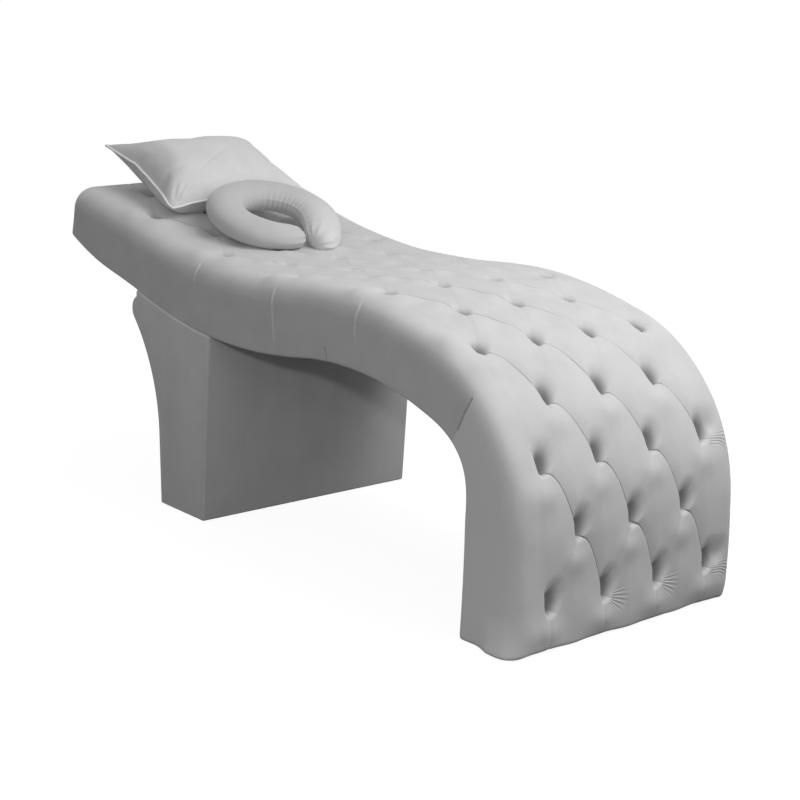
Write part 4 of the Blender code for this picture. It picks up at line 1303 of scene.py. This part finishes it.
def grained_material(name, group, dark, light, along, roughness):
    """Wood, board, foam or plastic: two shades along a grain, with a little relief."""
    material, tree, shader = new_material(name)
    inputs = {"Place": object_place(tree), "Along": along}
    shade = add_node(tree, "ShaderNodeGroup", inputs, node_tree=group).outputs["Shade"]
    colour = shade_ramp(tree, shade, (0.3, (*dark, 1.0)), (0.7, (*light, 1.0)))
    feed(tree, shader, {"Base Color": colour, "Roughness": roughness})
    add_bump(tree, shader, shade, 0.2, 0.0005)
    return material


def finish_frame(group):
    """A finish for every inner piece that the frame carries over, by what it is made of."""
    finishes = {
        "pine": ((0.50, 0.33, 0.17), (0.70, 0.52, 0.31), (40.0, 4.0, 40.0), 0.6),
        "plywood": ((0.45, 0.31, 0.18), (0.62, 0.46, 0.29), (5.0, 40.0, 90.0), 0.55),
        "fibreboard": ((0.22, 0.14, 0.08), (0.36, 0.25, 0.15), (70.0, 70.0, 70.0), 0.8),
        "foam": ((0.70, 0.66, 0.52), (0.82, 0.78, 0.65), (400.0, 400.0, 400.0), 0.95),
        "plastic": ((0.02, 0.02, 0.02), (0.04, 0.04, 0.04), (300.0, 300.0, 300.0), 0.5),
        "steel": ((0.45, 0.45, 0.46), (0.60, 0.60, 0.61), (200.0, 200.0, 20.0), 0.35),
    }
    finishes = {name: grained_material(name, group, *looks) for name, looks in finishes.items()}
    finishes["steel"].node_tree.nodes["Principled BSDF"].inputs["Metallic"].default_value = 1.0
    kinds = {
        "pine": ("cross_rail", "mount_rail", "base_post", "head_board", "foot_board"),
        "plastic": ("base_glide", "foot_glide"),
        "steel": ("base_bolt",),
        "foam": ("side_foam", "head_foam", "top_foam"),
        "fibreboard": ("underside_panel",),
    }
    for name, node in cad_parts.items():
        kind = next((what for what, starts in kinds.items() if name.startswith(starts)), "plywood")
        node.data.materials.clear()
        node.data.materials.append(finishes[kind])


# Camera and light

CAMERA_PLACE = Vector((3.5214, -2.6041, 1.3802))
CAMERA_AZIMUTH = math.radians(52.53)
CAMERA_ELEVATION = math.radians(13.634)
FOCAL_PIXELS = 1858.1
IMAGE_PIXELS = 800
SENSOR = 36.0


def make_camera():
    data = bpy.data.cameras.new("camera")
    data.sensor_width = SENSOR
    data.lens = FOCAL_PIXELS / IMAGE_PIXELS * SENSOR
    data.clip_end = 100.0
    camera = new_object("camera", data)
    level = math.cos(CAMERA_ELEVATION)
    back = Vector((
        math.sin(CAMERA_AZIMUTH) * level, -math.cos(CAMERA_AZIMUTH) * level, math.sin(CAMERA_ELEVATION)
    ))
    camera.location = CAMERA_PLACE
    camera.rotation_euler = back.to_track_quat("Z", "Y").to_euler()
    bpy.context.scene.camera = camera


SKY_GREY = 0.41
# Each lamp's power, size, place and the point that it looks at
LAMPS = {
    "overhead": (45.0, 1.6, (1.55, 0.80, 2.6), (0.35, 0.0, 0.5)),
    "foot_fill": (11.0, 2.5, (4.5, -1.0, 1.3), (0.3, 0.0, 0.4)),
    "front": (20.0, 0.12, (3.55, -2.62, 1.70), (0.0, 0.0, 0.45)),
}


def seen_directly(tree):
    """One for camera, mirror and glass rays, nought for the light that bounces."""
    rays = add_node(tree, "ShaderNodeLightPath", {}).outputs
    mirrored = computed(tree, "MAXIMUM", rays["Is Camera Ray"], rays["Is Glossy Ray"])
    return computed(tree, "MAXIMUM", mirrored, rays["Is Transmission Ray"])


def make_light():
    for name, (power, size, place, aim) in LAMPS.items():
        data = bpy.data.lights.new(name, "AREA")
        data.energy = power
        data.size = size
        lamp = new_object(name, data)
        lamp.location = place
        lamp.rotation_euler = (Vector(place) - Vector(aim)).to_track_quat("Z", "Y").to_euler()
    world = bpy.data.worlds.new("studio")
    bpy.context.scene.world = world
    world.use_nodes = True
    tree = world.node_tree
    shade = blend(tree, seen_directly(tree), grey_colour(SKY_GREY), grey_colour(1.0), "RGBA")
    feed(tree, tree.nodes["Background"], {"Color": shade})


FLOOR_SIZE = 400.0
FLOOR_GLOW = 0.92
FLOOR_SEEN = 0.20
FLOOR_BOUNCE = 0.05


def make_floor():
    """Pale floor: near white to the eye, with the shadow on it, and dim to the light that bounces."""
    bm = unit_grid(1, 1)
    bmesh.ops.scale(bm, verts=bm.verts[:], vec=(FLOOR_SIZE, FLOOR_SIZE, 1.0))
    material, tree, shader = new_material("floor")
    direct = seen_directly(tree)
    feed(tree, shader, {
        "Base Color": blend(tree, direct, grey_colour(FLOOR_BOUNCE), grey_colour(FLOOR_SEEN), "RGBA"),
        "Emission Strength": computed(tree, "MULTIPLY", direct, FLOOR_GLOW),
        "Emission Color": grey_colour(1.0), "Roughness": 1.0, "Specular IOR Level": 0.0,
    })
    new_piece("floor", bm, material)


# The grey of each velvet, and how much its patches and streaks show
VELVETS = {
    "silver_velvet": (0.60, 0.35, 0.0),
    "pedestal_velvet": (0.66, 0.25, 0.35),
    "pillow_velvet": (0.70, 0.35, 0.0),
    "neck_velvet": (0.54, 0.35, 0.0),
    "piping_velvet": (0.85, 0.20, 0.0),
}

bpy.context.scene.view_settings.view_transform = "Standard"
make_camera()
make_light()
make_floor()
pile = pile_group()
velvets = {name: velvet_material(name, pile, *looks) for name, looks in VELVETS.items()}
finish_frame(grain_group())

bed_cover = make_bed_cover(velvets["silver_velvet"])
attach(bed_cover, "bed")
FOAMS = ("top_foam", "side_foam_left", "side_foam_right")
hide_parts("tufted_cover", "head_cover", "underside_cover", *FOAMS)
buttons = make_buttons(velvets["silver_velvet"])
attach(buttons, "bed")

base_cover = make_base_cover(velvets["pedestal_velvet"])
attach(base_cover, "bed")
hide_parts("base_cover")
neck_pillow = make_neck_pillow(velvets["neck_velvet"])
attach(neck_pillow, "neck_pillow")
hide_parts("neck_pillow")
pillow, seam = make_pillow(velvets["pillow_velvet"])
piping = make_piping(seam, velvets["piping_velvet"])
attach(piping, "pillow")
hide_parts("pillow_piping")
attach(pillow, "pillow")
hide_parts("pillow")
